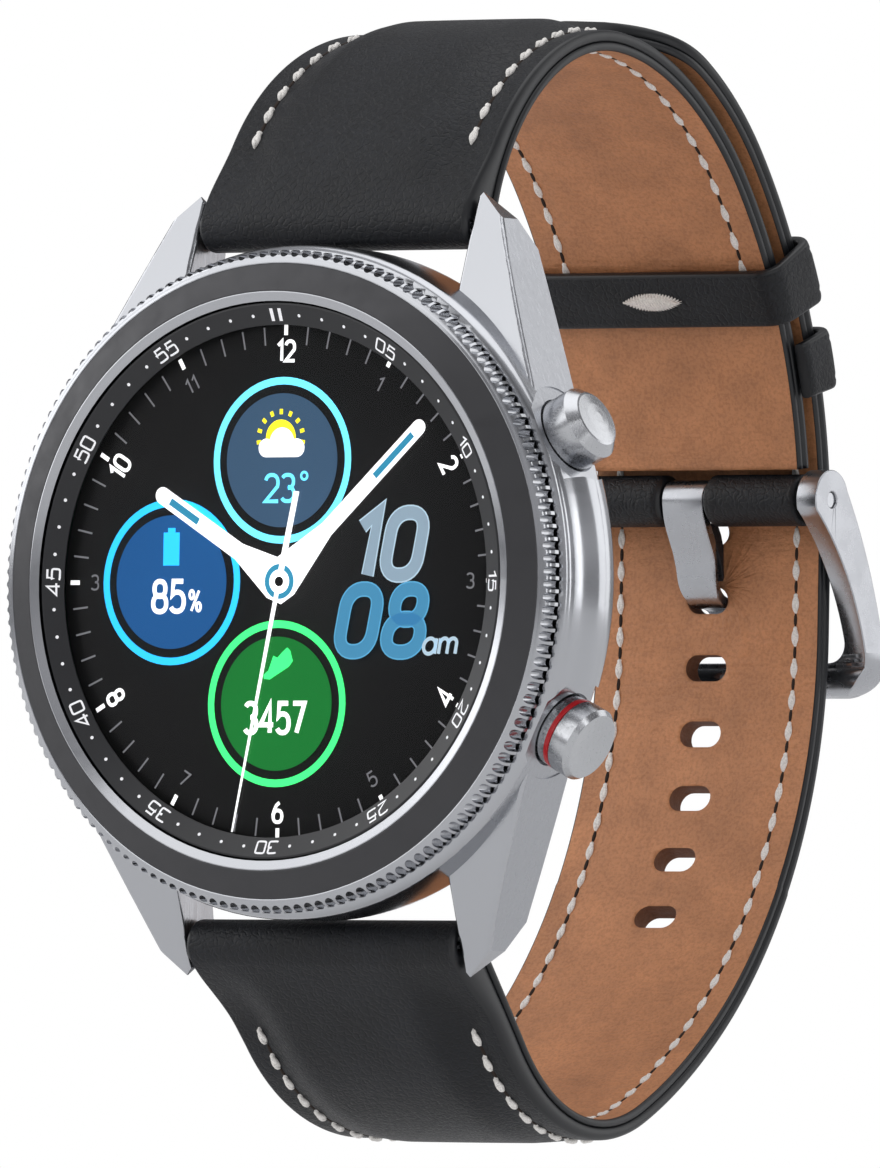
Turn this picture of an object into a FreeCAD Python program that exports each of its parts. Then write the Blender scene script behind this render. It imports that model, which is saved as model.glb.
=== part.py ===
"""Smartwatch with a turning coin-edge bezel, two pushers and a buckled leather strap.

Frame: millimetres, +X towards 3 o'clock and the pushers, +Z towards 12 o'clock, and the dial faces
-Y. The origin is the middle of the flat on the sensor glass, which rests on the wrist. Heights are
measured forward from that face, so a height becomes a Y of the same size with a minus sign.
"""

import FreeCAD, Part
import math
import os

import Sketcher
from FreeCAD import Matrix, Placement, Rotation, Vector

# Heights above the wrist face, radii about the dial's axis, and places in the strap's side view.
DIMENSIONS = {
    # glass, display and minute ring
    "glass_top": 11.6,
    "glass_seat": 10.9,
    "glass_radius": 18.6,
    "gasket_seat": 10.6,
    "panel_radius": 17.5,
    "panel_back": 10.15,
    "ring_inner": 17.0,
    "ring_outer": 18.43,
    "ring_rise": 0.65,
    "ring_edge": 0.08,
    # bezel
    "bezel_top": 12.57,
    "bezel_lip_inner": 18.56,
    "bezel_lip_outer": 19.2,
    "bezel_lip_drop": 0.2,
    "insert_outer": 21.1,
    "insert_edge": 11.8,
    "insert_thick": 0.45,
    "bezel_radius": 22.0,
    "bezel_under": 10.3,
    "bezel_bore": 19.7,
    "tooth_depth": 0.5,
    "tooth_count": 160,
    "click_count": 24,
    "click_radius": 20.8,
    "click_ball": 0.4,
    "magnet_radius": 0.6,
    "magnet_height": 0.8,
    # case
    "case_radius": 22.4,
    "case_shoulder": 10.0,
    "case_flank_low": 4.9,
    "case_foot": 1.7,
    "case_foot_radius": 20.0,
    "neck_radius": 19.6,
    "neck_top": 11.5,
    "cavity_radius": 18.6,
    "cavity_top": 9.95,
    "shelf_radius": 18.0,
    "back_recess_radius": 19.65,
    "back_recess_top": 2.35,
    "guard_reach": 23.1,
    "guard_angle": 17.5,
    # lugs and spring bars
    "lug_gap": 22.0,
    "lug_reach": 26.0,
    "lug_bore": 0.45,
    "lug_bore_depth": 1.0,
    "bar_height": 4.0,
    "bar_z": 24.0,
    "tube_radius": 0.8,
    "tube_bore": 0.48,
    "tube_length": 20.4,
    "pin_radius": 0.4,
    "pin_reach": 0.75,
    "release_travel": 1.2,
    "knob_x": 7.4,
    "knob_radius": 0.5,
    "knob_reach": 2.1,
    # back of the case
    "back_outer": 19.6,
    "back_face": 1.45,
    "back_step": 18.3,
    "back_inner": 2.95,
    "sensor_radius": 12.9,
    "sensor_flat": 9.0,
    "screw_circle": 16.9,
    "screw_head": 1.15,
    "screw_shank": 0.65,
    # inside
    "battery_wide": 22.0,
    "battery_high": 20.0,
    "battery_thick": 4.2,
    "battery_base": 3.15,
    "tray_top": 8.2,
    "board_radius": 17.4,
    "board_back": 8.4,
    "board_thick": 0.6,
    # pushers
    "pusher_angle": 26.0,
    "pusher_height": 6.7,
    "pusher_radius": 2.55,
    "pusher_under": 21.75,
    "pusher_face": 24.75,
    "pusher_seat": 22.1,
    "pusher_well": 21.2,
    "scallop_radius": 3.6,
    "stem_radius": 0.8,
    "stem_inner": 17.55,
    # strap: side view places in Y and Z, radii of the surface that touches the wrist
    "strap_wide": 21.6,
    "strap_narrow": 18.4,
    "leather": 0.8,
    "lining": 0.6,
    "back_centre_z": 4.5,
    "short_back_radius": 37.8,
    "short_crown_radius": 21.9,
    "short_front_radius": 15.2,
    "short_back_angle": 38.9,
    "short_crown_angle": 85.6,
    "padding_radius_gain": 2.7,
    "long_centre_y": 5.4,
    "long_centre_z": -1.8,
    "long_back_radius": 35.0,
    "long_front_radius": 13.3,
    "long_front_angle": 67.3,
    "tail_radius": 40.4,
    "tail_crown_radius": 22.3,
    "tail_tip_y": 19.5,
    "tail_tip_corner": 6.0,
    "nose_radius": 1.75,
    "hole_pitch": 4.65,
    "hole_count": 7,
    "hole_wide": 3.3,
    "hole_high": 1.8,
    "hole_used_z": 0.6,
    # keepers and buckle
    "keeper_thick": 0.85,
    "keeper_gap": 0.2,
    "free_keeper_angle": 26.0,
    "free_keeper_wide": 4.4,
    "fixed_keeper_angle": 17.4,
    "fixed_keeper_wide": 4.0,
    "buckle_bar_angle": 4.2,
    "buckle_bar_radius": 0.8,
    "buckle_arm": 1.6,
    "buckle_nose_radius": 1.45,
    "prong_wide": 3.3,
    "prong_thick": 0.7,
    "prong_loop": 1.42,
    "prong_tip_wide": 2.7,
}

FULL_TURN = 360.0
TOWARDS_BACK = Vector(0, 1, 0)
ACROSS = Vector(1, 0, 0)

doc = FreeCAD.newDocument("smartwatch")
nodes = []


class Size:
    """A number that remembers the sheet expression it was worked out from."""

    def __init__(self, value, text):
        self.value = value
        self.text = text

    def _with(self, other, sign, value):
        return Size(value, f"({self.text} {sign} {as_size(other).text})")

    def __add__(self, other):
        return self._with(other, "+", self.value + as_size(other).value)

    def __sub__(self, other):
        return self._with(other, "-", self.value - as_size(other).value)

    def __mul__(self, other):
        return self._with(other, "*", self.value * as_size(other).value)

    def __truediv__(self, other):
        return self._with(other, "/", self.value / as_size(other).value)

    def __neg__(self):
        return as_size(0) - self


def as_size(number):
    """A plain number as a Size, and a Size as it is."""
    return number if isinstance(number, Size) else Size(float(number), str(float(number)))


class Sheet:
    """The spreadsheet of driving dimensions. Each one is read as an attribute."""

    def __init__(self, table):
        self.table = table
        page = doc.addObject("Spreadsheet::Sheet", "Dims")
        for row, (alias, value) in enumerate(table.items(), start=1):
            page.set(f"A{row}", alias)
            page.set(f"B{row}", str(value))
            page.setAlias(f"B{row}", alias)
        doc.recompute()

    def __getattr__(self, alias):
        return Size(float(self.table[alias]), f"Dims.{alias}")


mm = Sheet(DIMENSIONS)


# ---------------------------------------------------------------- building blocks


def piece(label, obj):
    """Names a finished sub-part, which is written to its own file."""
    obj.Label = label
    nodes.append(obj)
    return obj


def formed(label, shape):
    """A sub-part whose shape comes straight from Part's own functions."""
    obj = doc.addObject("Part::Feature", label)
    obj.Shape = shape
    return piece(label, obj)


def helper(name, shape):
    """A cutter or blank that a boolean uses."""
    obj = doc.addObject("Part::Feature", name)
    obj.Shape = shape
    return obj


def draw(sketch, outline):
    """Closes lines through the corners. A third item marks a point that an arc bends through."""
    points = [(as_size(p[0]), as_size(p[1]), len(p) > 2) for p in outline]
    corners = [i for i, p in enumerate(points) if not p[2]]
    ends = []
    for place, i in enumerate(corners):
        j = corners[(place + 1) % len(corners)]
        start = Vector(points[i][0].value, points[i][1].value, 0)
        end = Vector(points[j][0].value, points[j][1].value, 0)
        bend = points[(i + 1) % len(points)]
        if bend[2]:
            via = Vector(bend[0].value, bend[1].value, 0)
            geometry = sketch.addGeometry(Part.Arc(start, via, end))
            turns_left = (via - start).cross(end - via).z > 0
            ends.append((geometry, 1, 2) if turns_left else (geometry, 2, 1))
            pin(sketch, sketch.addGeometry(Part.Point(via), True), 1, bend)
            sketch.addConstraint(Sketcher.Constraint("PointOnObject", geometry + 1, 1, geometry))
        else:
            ends.append((sketch.addGeometry(Part.LineSegment(start, end)), 1, 2))
    for place, i in enumerate(corners):
        geometry, start_end, far_end = ends[place]
        following = ends[(place + 1) % len(corners)]
        sketch.addConstraint(
            Sketcher.Constraint("Coincident", geometry, far_end, following[0], following[1])
        )
        pin(sketch, geometry, start_end, points[i])
    return sketch


def pin(sketch, geometry, end, point):
    """Ties one point of a sketch to the sheet."""
    for kind, size in (("DistanceX", point[0]), ("DistanceY", point[1])):
        index = sketch.addConstraint(
            Sketcher.Constraint(kind, -1, 1, geometry, end, size.value)
        )
        if "Dims" in size.text:
            sketch.setExpression(f"Constraints[{index}]", size.text)


def sketch_in(body, role, outline):
    """A sketch on one of the body's own origin planes."""
    plane = next(f for f in body.Origin.OriginFeatures if f.Role == role)
    sketch = body.newObject("Sketcher::SketchObject", f"{body.Name}_outline")
    sketch.AttachmentSupport = (plane, [""])
    sketch.MapMode = "FlatFace"
    return draw(sketch, outline)


def lathe(name, outline):
    """A body turned about the dial's axis from corners given as radius and height."""
    body = doc.addObject("PartDesign::Body", name)
    flipped = [(p[0], -as_size(p[1]), *p[2:]) for p in outline]
    turned = body.newObject("PartDesign::Revolution", f"{name}_turned")
    sketch = sketch_in(body, "XY_Plane", flipped)
    turned.Profile = sketch
    turned.ReferenceAxis = (sketch, ["V_Axis"])
    turned.Angle = FULL_TURN
    body.Tip = turned
    return body


def placed(obj, base, along=None):
    """Puts an object's own origin at base, with its own Z turned to along."""
    if along is not None:
        obj.Placement = Placement(Vector(), Rotation(Vector(0, 0, 1), along))
    for axis, size in zip("xyz", base):
        obj.setExpression(f"Placement.Base.{axis}", as_size(size).text)
    return obj


def rod(name, radius, length, base, along):
    """A cylinder that starts at base and runs along a direction."""
    obj = doc.addObject("Part::Cylinder", name)
    obj.setExpression("Radius", as_size(radius).text)
    obj.setExpression("Height", as_size(length).text)
    return placed(obj, base, along)


def block(name, size, corner):
    """A box from its lowest corner."""
    obj = doc.addObject("Part::Box", name)
    for side, length in zip(("Length", "Width", "Height"), size):
        obj.setExpression(side, as_size(length).text)
    return placed(obj, corner)


def cut(name, base, *tools):
    """The base with every tool taken away."""
    obj = doc.addObject("Part::Cut", name)
    obj.Base = base
    obj.Tool = tools[0] if len(tools) == 1 else fuse(f"{name}_tools", *tools)
    return obj


def fuse(name, *parts):
    """Several solids as one."""
    obj = doc.addObject("Part::MultiFuse", name)
    obj.Shapes = list(parts)
    obj.Refine = True
    return obj


def around(shape, count, start=0.0):
    """Copies of a shape spaced evenly about the dial's axis."""
    copies = []
    for number in range(count):
        copy = shape.copy()
        copy.rotate(Vector(), TOWARDS_BACK, start + number * FULL_TURN / count)
        copies.append(copy)
    return copies


def coil(radius, wire, length, turns, base, along):
    """A compression spring of six-sided wire that starts at base."""
    steps = 14
    count = int(turns * steps)
    path = []
    for number in range(count + 1):
        angle = 2 * math.pi * number / steps
        height = length * number / count
        path.append(Vector(radius * math.cos(angle), radius * math.sin(angle), height))
    forward = (path[1] - path[0]).normalize()
    upward = forward.cross(ACROSS).normalize()
    sideways = upward.cross(forward)
    corners = []
    for number in range(6):
        angle = math.pi * number / 3
        offset = sideways * math.cos(angle) + upward * math.sin(angle)
        corners.append(path[0] + offset * wire)
    section = Part.makePolygon(corners + corners[:1])
    spring = Part.makePolygon(path).makePipeShell([section], True, False, 1)
    spring.Placement = Placement(base, Rotation(Vector(0, 0, 1), along))
    return spring


def disc(radius, low, high, x=0.0, z=0.0):
    """A cylinder between two heights, parallel to the dial's axis."""
    return Part.makeCylinder(radius, high - low, Vector(x, -high, z), TOWARDS_BACK)


# ---------------------------------------------------------------- glass, display and minute ring


def build_display():
    edge = 0.15
    glass = lathe(
        "display_glass_body",
        [
            (0, mm.glass_top),
            (mm.glass_radius - edge, mm.glass_top),
            (mm.glass_radius, mm.glass_top - edge),
            (mm.glass_radius, mm.glass_seat),
            (0, mm.glass_seat),
        ],
    )
    piece("display_glass", glass)

    clearance = 0.02
    panel = lathe(
        "display_panel_body",
        [
            (0, mm.glass_seat - clearance),
            (mm.panel_radius, mm.glass_seat - clearance),
            (mm.panel_radius, mm.panel_back),
            (0, mm.panel_back),
        ],
    )
    piece("display_panel", panel)

    gasket = lathe(
        "display_gasket_body",
        [
            (mm.shelf_radius + 0.1, mm.glass_seat),
            (mm.glass_radius - 0.02, mm.glass_seat),
            (mm.glass_radius - 0.02, mm.gasket_seat),
            (mm.shelf_radius + 0.1, mm.gasket_seat),
        ],
    )
    piece("display_gasket", gasket)

    crest = 0.12
    minute_ring = lathe(
        "minute_ring_body",
        [
            (mm.ring_inner, mm.glass_top),
            (mm.ring_inner, mm.glass_top + mm.ring_edge),
            (mm.ring_outer - crest, mm.glass_top + mm.ring_rise),
            (mm.ring_outer, mm.glass_top + mm.ring_rise - 0.03),
            (mm.ring_outer, mm.glass_top),
        ],
    )
    piece("minute_ring", minute_ring)


# ---------------------------------------------------------------- bezel


def coin_edge_blank():
    """A tall toothed prism. Each gap between teeth is a half-round flute."""
    outer = mm.bezel_radius.value + 0.02
    inner = outer - mm.tooth_depth.value
    pitch = 2 * math.pi / mm.tooth_count.value
    land = 0.3 * pitch
    edges = []

    def at(radius, angle):
        return Vector(radius * math.cos(angle), -14, radius * math.sin(angle))

    for number in range(int(mm.tooth_count.value)):
        start = number * pitch
        edges.append(
            Part.Arc(at(outer, start), at(outer, start + land / 2), at(outer, start + land)).toShape()
        )
        edges.append(
            Part.Arc(
                at(outer, start + land), at(inner, start + (land + pitch) / 2), at(outer, start + pitch)
            ).toShape()
        )
    return Part.Face(Part.Wire(edges)).extrude(Vector(0, 6, 0))


def build_bezel():
    top, lip = mm.bezel_top.value, mm.bezel_lip_outer.value
    lip_inner, insert_edge = mm.bezel_lip_inner.value, mm.insert_edge.value
    thick, under = mm.insert_thick.value, mm.bezel_under.value
    radius, bore = mm.bezel_radius.value, mm.bezel_bore.value
    insert_outer = mm.insert_outer.value
    neck_clear = mm.neck_top.value + 0.1
    groove = bore + 0.28

    def at(r, height):
        return Vector(r, -height, 0)

    ring_points = [
        at(lip_inner, neck_clear),
        at(lip_inner, top - mm.bezel_lip_drop.value),
        at(lip - 0.06, top),
        at(lip, top - 0.02),
        at(lip, top - thick),
        at(insert_outer, insert_edge - thick),
        at(insert_outer, insert_edge - 0.02),
        at(insert_outer + 0.06, insert_edge),
        at(insert_outer + 0.22, insert_edge - 0.06),
    ]
    shoulder_end = at(radius, insert_edge - 0.85)
    lower = [
        shoulder_end,
        at(radius, under + 0.25),
        at(radius - 0.25, under),
        at(bore, under),
        at(bore, 10.55),
        at(groove, 10.6),
        at(groove, 11.2),
        at(bore, 11.25),
        at(bore, neck_clear),
        ring_points[0],
    ]
    edges = [Part.makeLine(a, b) for a, b in zip(ring_points, ring_points[1:])]
    shoulder_mid = at(radius - 0.2, insert_edge - 0.34)
    edges.append(Part.Arc(ring_points[-1], shoulder_mid, shoulder_end).toShape())
    edges += [Part.makeLine(a, b) for a, b in zip(lower, lower[1:])]
    ring = Part.Face(Part.Wire(edges)).revolve(Vector(), TOWARDS_BACK, FULL_TURN)
    ring = ring.common(coin_edge_blank())

    dimple = Part.makeSphere(
        mm.click_ball.value + 0.03, Vector(mm.click_radius.value, -under + 0.3, 0)
    )
    clicks = int(mm.click_count.value)
    half_click = FULL_TURN / clicks / 2
    magnet = disc(
        mm.magnet_radius.value, under, under + mm.magnet_height.value, mm.click_radius.value
    )
    magnets = around(magnet, 6, half_click)
    ring = ring.cut(Part.Compound(around(dimple, clicks) + magnets))
    formed("bezel_ring", ring)
    formed("bezel_magnets", Part.Compound(magnets))

    insert = lathe(
        "bezel_insert_body",
        [
            (mm.bezel_lip_outer, mm.bezel_top - mm.insert_thick),
            (mm.bezel_lip_outer, mm.bezel_top - 0.05),
            (mm.bezel_lip_outer + 0.08, mm.bezel_top - 0.03),
            (mm.insert_outer - 0.06, mm.insert_edge + 0.01),
            (mm.insert_outer, mm.insert_edge - 0.04),
            (mm.insert_outer, mm.insert_edge - mm.insert_thick),
        ],
    )
    piece("bezel_insert", insert)


def build_bezel_hardware():
    """The snap wire that holds the bezel on the neck, and its sprung click balls."""
    wire = Part.makeTorus(mm.neck_radius.value + 0.08, 0.22, Vector(0, -10.9, 0), TOWARDS_BACK)
    gap = Part.makeBox(3, 3, 3, Vector(-1.5, -12.4, 18.5))
    formed("bezel_snap_ring", wire.cut(gap))

    at = mm.click_radius.value
    ball = mm.click_ball.value
    balls = [
        Part.makeSphere(ball, Vector(0, -(mm.case_shoulder.value + 0.02), z)) for z in (at, -at)
    ]
    formed("click_balls", Part.Compound(balls))
    springs = [
        coil(0.24, 0.07, 1.2, 5, Vector(0, -8.3, z), Vector(0, -1, 0)) for z in (at, -at)
    ]
    formed("click_springs", Part.Compound(springs))


# ---------------------------------------------------------------- case


def pusher_direction(side):
    """Outward direction of the upper (side 1) or the lower (side -1) pusher."""
    angle = math.radians(side * mm.pusher_angle.value)
    return Vector(math.cos(angle), 0, math.sin(angle))


def along_pusher(side, radius):
    """A point on a pusher's axis at a distance from the dial's axis."""
    return pusher_direction(side) * radius + Vector(0, -mm.pusher_height.value, 0)


def lug_shape():
    """The 12 o'clock lug on the pusher side: a plan prism shared with a side-view prism."""
    inner = mm.lug_gap.value / 2
    reach = mm.lug_reach.value
    plan = [
        (inner, 15.8),
        (inner, reach - 0.5),
        (inner + 0.4, reach),
        (inner + 2.35, reach - 1.75),
        (inner + 3.5, 21.6),
        (20.15, 8.95),
        (18.9, 8.4),
    ]
    corners = [Vector(x, 0, z) for x, z in plan]
    prism = Part.Face(Part.makePolygon(corners + corners[:1])).extrude(Vector(0, -12, 0))

    def at(height, z):
        return Vector(0, -height, z)

    top = Part.Arc(at(9.95, 7.5), at(7.0, 19.0), at(4.5, reach + 0.1)).toShape()
    under = Part.Arc(at(2.1, 22.3), at(2.75, 18.4), at(4.9, 8.0)).toShape()
    loop = [
        top,
        Part.makeLine(at(4.5, reach + 0.1), at(2.1, 22.3)),
        under,
        Part.makeLine(at(4.9, 8.0), at(4.9, 7.5)),
        Part.makeLine(at(4.9, 7.5), at(9.95, 7.5)),
    ]
    side_view = Part.Face(Part.Wire(loop)).extrude(Vector(30, 0, 0))
    lug = prism.common(side_view)
    soft_edges = [e for e in lug.Edges if is_lug_ridge(e, inner)]
    return lug.makeFillet(0.28, soft_edges)


def is_lug_ridge(edge, inner):
    """True for the long top edges: the one beside the strap and the one above the flank."""
    middle = edge.valueAt((edge.FirstParameter + edge.LastParameter) / 2)
    on_top = middle.y < -4.6 and edge.Length > 4
    beside_strap = abs(middle.x - inner) < 0.05 and middle.z > 15
    above_flank = middle.x > inner + 2.5 and middle.z > 9.5
    return on_top and (beside_strap or above_flank) and abs(middle.y) < 9.6


def guard_shape():
    """The rounded guard between the pushers, a sector turned about the dial's axis."""
    reach, inner = mm.guard_reach.value, mm.case_radius.value - 1.6
    half = mm.guard_angle.value

    def at(r, height):
        return Vector(r, -height, 0)

    edges = [
        Part.makeLine(at(inner, 9.7), at(inner + 1.2, 9.7)),
        Part.Arc(at(inner + 1.2, 9.7), at(reach - 0.28, 8.6), at(reach, 6.6)).toShape(),
        Part.Arc(at(reach, 6.6), at(reach - 0.2, 5.5), at(inner + 1.2, 4.3)).toShape(),
        Part.makeLine(at(inner + 1.2, 4.3), at(inner, 4.3)),
        Part.makeLine(at(inner, 4.3), at(inner, 9.7)),
    ]
    sector = Part.Face(Part.Wire(edges))
    sector.rotate(Vector(), TOWARDS_BACK, -half)
    return sector.revolve(Vector(), TOWARDS_BACK, 2 * half)


def pusher_cutters(side):
    """The scallop, well, seal bore and stem bore of one pusher."""
    out = pusher_direction(side)
    steps = [
        (mm.scallop_radius.value, mm.pusher_seat.value, 26.0),
        (mm.pusher_radius.value + 0.12, mm.pusher_well.value, 26.0),
        (1.2, 19.6, 26.0),
        (mm.stem_radius.value + 0.06, 17.0, 26.0),
    ]
    return [
        Part.makeCylinder(radius, end - start, along_pusher(side, start), out)
        for radius, start, end in steps
    ]


def build_case():
    barrel = lathe(
        "case_barrel",
        [
            (mm.neck_radius - 0.9, mm.neck_top),
            (mm.neck_radius, mm.neck_top),
            (mm.neck_radius, 11.2),
            (mm.neck_radius - 0.25, 11.2),
            (mm.neck_radius - 0.25, 10.6),
            (mm.neck_radius, 10.6),
            (mm.neck_radius, mm.case_shoulder),
            (mm.case_radius - 0.75, mm.case_shoulder),
            (mm.case_radius - 0.2, mm.case_shoulder - 0.28, "bend"),
            (mm.case_radius, mm.case_shoulder - 0.9),
            (mm.case_radius, mm.case_flank_low + 0.8),
            (mm.case_radius - 0.15, mm.case_flank_low, "bend"),
            (mm.case_radius - 0.6, mm.case_flank_low - 0.7),
            (mm.case_foot_radius, mm.case_foot + 0.15),
            (mm.case_foot_radius - 0.15, mm.case_foot),
            (mm.back_recess_radius, mm.case_foot),
            (mm.back_recess_radius, mm.back_recess_top),
            (mm.cavity_radius + 0.2, mm.back_recess_top),
            (mm.cavity_radius + 0.2, mm.back_inner),
            (mm.cavity_radius, mm.back_inner),
            (mm.cavity_radius, mm.cavity_top),
            (mm.shelf_radius, mm.cavity_top),
            (mm.shelf_radius, mm.gasket_seat),
            (mm.neck_radius - 0.9, mm.gasket_seat),
        ],
    )
    flip_x = Matrix(-1, 0, 0, 0, 0, 1, 0, 0, 0, 0, 1, 0)
    flip_z = Matrix(1, 0, 0, 0, 0, 1, 0, 0, 0, 0, -1, 0)
    lug = lug_shape()
    left_lug = lug.transformGeometry(flip_x)
    lugs = [lug, left_lug, lug.transformGeometry(flip_z), left_lug.transformGeometry(flip_z)]
    lug_parts = [helper(f"lug_{number}", shape) for number, shape in enumerate(lugs)]
    boss = disc(2.0, mm.back_inner.value + 0.05, 5.0, mm.screw_circle.value)
    bosses = [helper(f"boss_{n}", s) for n, s in enumerate(around(boss, 4, 45.0))]
    blank = fuse("case_blank", barrel, helper("guard", guard_shape()), *lug_parts, *bosses)

    cutters = pusher_cutters(1) + pusher_cutters(-1)
    pilot = disc(mm.screw_shank.value + 0.02, 2.5, 4.6, mm.screw_circle.value)
    cutters += around(pilot, 4, 45.0)
    half_gap = mm.lug_gap.value / 2
    depth = half_gap + mm.lug_bore_depth.value
    clearance = mm.nose_radius.value + 0.25
    for z in (mm.bar_z.value, -mm.bar_z.value):
        centre = Vector(0, -mm.bar_height.value, z)
        bore_start = centre - ACROSS * depth
        cutters.append(Part.makeCylinder(mm.lug_bore.value, 2 * depth, bore_start, ACROSS))
        relief_start = centre - ACROSS * half_gap
        cutters.append(Part.makeCylinder(clearance, 2 * half_gap, relief_start, ACROSS))
        cutters.append(disc(0.47, 8.1, 10.5, 0, math.copysign(mm.click_radius.value, z)))
    tools = helper("case_cutters", cutters[0].multiFuse(cutters[1:]))
    piece("case_middle", cut("case_cut", blank, tools))


# ---------------------------------------------------------------- back of the case


def build_back():
    glass = lathe(
        "back_glass_body",
        [
            (0, 0),
            (mm.sensor_flat, 0),
            (mm.sensor_flat + 2.4, 0.36, "bend"),
            (mm.sensor_radius, 1.35),
            (mm.sensor_radius, 1.95),
            (mm.sensor_radius - 1.1, 1.95),
            (mm.sensor_flat + 1.6, 1.15, "bend"),
            (mm.sensor_flat - 0.3, 0.95),
            (0, 0.95),
        ],
    )
    piece("back_glass", glass)

    inner = mm.sensor_radius + 0.03
    back_blank = lathe(
        "case_back_blank",
        [
            (inner, mm.back_face),
            (18.2, mm.back_face, "bend"),
            (mm.back_outer, 1.75),
            (mm.back_outer, mm.back_recess_top - 0.02),
            (mm.back_step, mm.back_recess_top - 0.02),
            (mm.back_step, mm.back_inner),
            (mm.sensor_radius - 1.0, mm.back_inner),
            (mm.sensor_radius - 1.0, 1.98),
            (inner, 1.98),
        ],
    )
    head = disc(mm.screw_head.value + 0.08, 1.0, 2.2, mm.screw_circle.value)
    shank = disc(mm.screw_shank.value + 0.08, 1.0, 4.0, mm.screw_circle.value)
    holes = Part.Compound(around(head.fuse(shank), 4, 45.0))
    piece("case_back", cut("case_back_cut", back_blank, helper("screw_holes", holes)))

    seal = lathe(
        "back_gasket_body",
        [
            (mm.back_step + 0.02, mm.back_recess_top),
            (mm.cavity_radius + 0.18, mm.back_recess_top),
            (mm.cavity_radius + 0.18, mm.back_recess_top + 0.4),
            (mm.back_step + 0.02, mm.back_recess_top + 0.4),
        ],
    )
    piece("back_gasket", seal)

    screw_head = disc(mm.screw_head.value, 1.62, 2.18, mm.screw_circle.value)
    screw = screw_head.fuse(disc(mm.screw_shank.value, 2.18, 4.4, mm.screw_circle.value))
    slot = Part.makeBox(1.5, 0.3, 0.3, Vector(mm.screw_circle.value - 0.75, -1.92, -0.15))
    formed("back_screws", Part.Compound(around(screw.cut(slot).removeSplitter(), 4, 45.0)))


# ---------------------------------------------------------------- inside the case


def rounded_block(name, wide, high, thick, low, radius):
    """A block centred on the dial's axis whose upright corners are rounded."""
    blank = block(f"{name}_blank", (wide, thick, high), (-wide / 2, -(thick + low), -high / 2))
    doc.recompute()
    rounded = doc.addObject("Part::Fillet", f"{name}_rounded")
    rounded.Base = blank
    upright = [
        number
        for number, edge in enumerate(blank.Shape.Edges, start=1)
        if abs(edge.tangentAt(edge.FirstParameter).y) > 0.99
    ]
    rounded.Edges = [(number, radius, radius) for number in upright]
    return rounded


def build_inside():
    board = disc(8.3, 1.25, 1.85)
    formed("sensor_board", board)
    windows = [disc(0.9, 0.97, 1.22, 2.6 * math.cos(a), 2.6 * math.sin(a)) for a in (0.5, 2.6, 4.7)]
    diodes = [
        Part.makeBox(1.6, 0.25, 1.6, Vector(x - 0.8, -1.22, z - 0.8))
        for x, z in ((5.2, 0), (-5.2, 0), (0, 5.2), (0, -5.2))
    ]
    formed("optical_sensors", Part.Compound(windows + diodes))
    coil_ring = lathe(
        "charging_coil_body", [(8.6, 1.9), (11.2, 1.9), (11.2, 2.3), (8.6, 2.3)]
    )
    piece("charging_coil", coil_ring)

    wide, high, thick = mm.battery_wide, mm.battery_high, mm.battery_thick
    battery = rounded_block("battery", wide, high, thick, mm.battery_base, 3.5)
    piece("battery", battery)

    wall, gap = 0.8, 0.2
    tray_low = mm.battery_base.value
    tray = Part.makeBox(
        wide.value + 2 * (wall + gap),
        mm.tray_top.value - tray_low,
        high.value + 2 * (wall + gap),
        Vector(-wide.value / 2 - wall - gap, -mm.tray_top.value, -high.value / 2 - wall - gap),
    )
    pocket = Part.makeBox(
        wide.value + 2 * gap,
        thick.value + gap,
        high.value + 2 * gap,
        Vector(-wide.value / 2 - gap, -tray_low - thick.value - gap, -high.value / 2 - gap),
    )
    flange = disc(mm.cavity_radius.value - 0.1, mm.tray_top.value - 0.7, mm.tray_top.value)
    cable_slot = Part.makeBox(8, 2, 3, Vector(-4, -9, -14.5))
    outline = disc(mm.cavity_radius.value - 0.1, tray_low, mm.tray_top.value)
    tray = tray.common(outline).fuse(flange).cut(pocket).cut(cable_slot)
    boss_room = disc(2.15, 3.0, 5.1, mm.screw_circle.value)
    for room in around(boss_room, 4, 45.0):
        tray = tray.cut(room)
    for side in (1, -1):
        pusher_room = Part.makeBox(3.1, 3.5, 7.0, Vector(-1.55, -1.75, 0))
        upright = Rotation(Vector(0, 0, 1), pusher_direction(side))
        pusher_room.Placement = Placement(along_pusher(side, 15.9), upright)
        tray = tray.cut(pusher_room)
    formed("inner_frame", tray.removeSplitter())

    formed("vibration_motor", disc(2.8, 3.2, 6.2, -15.3, 0))
    speaker = Part.makeBox(9.0, 3.4, 4.4, Vector(-4.5, -6.7, -16.4))
    speaker_port = disc(0.5, 3.0, 4.0, 0, -14.2)
    formed("speaker", speaker.cut(speaker_port))

    low = mm.board_back.value
    board_top = low + mm.board_thick.value
    main_board = disc(mm.board_radius.value, low, board_top)
    notch = Part.makeBox(10, 3, 4, Vector(-5, -10, 14.5))
    formed("main_board", main_board.cut(notch))
    shields = [
        Part.makeBox(11, 0.85, 9, Vector(-12, -board_top - 0.85, -1)),
        Part.makeBox(9, 0.85, 12, Vector(2, -board_top - 0.85, -4)),
        Part.makeBox(10, 0.7, 6, Vector(-9, -board_top - 0.7, -11)),
    ]
    formed("board_shields", Part.Compound(shields))


# ---------------------------------------------------------------- pushers


def ring_along(side, inner, outer, start, end):
    """A washer-like ring about a pusher's axis."""
    out = pusher_direction(side)
    solid = Part.makeCylinder(outer, end - start, along_pusher(side, start), out)
    hole = Part.makeCylinder(inner, end - start + 1, along_pusher(side, start - 0.5), out)
    return solid.cut(hole)


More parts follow.
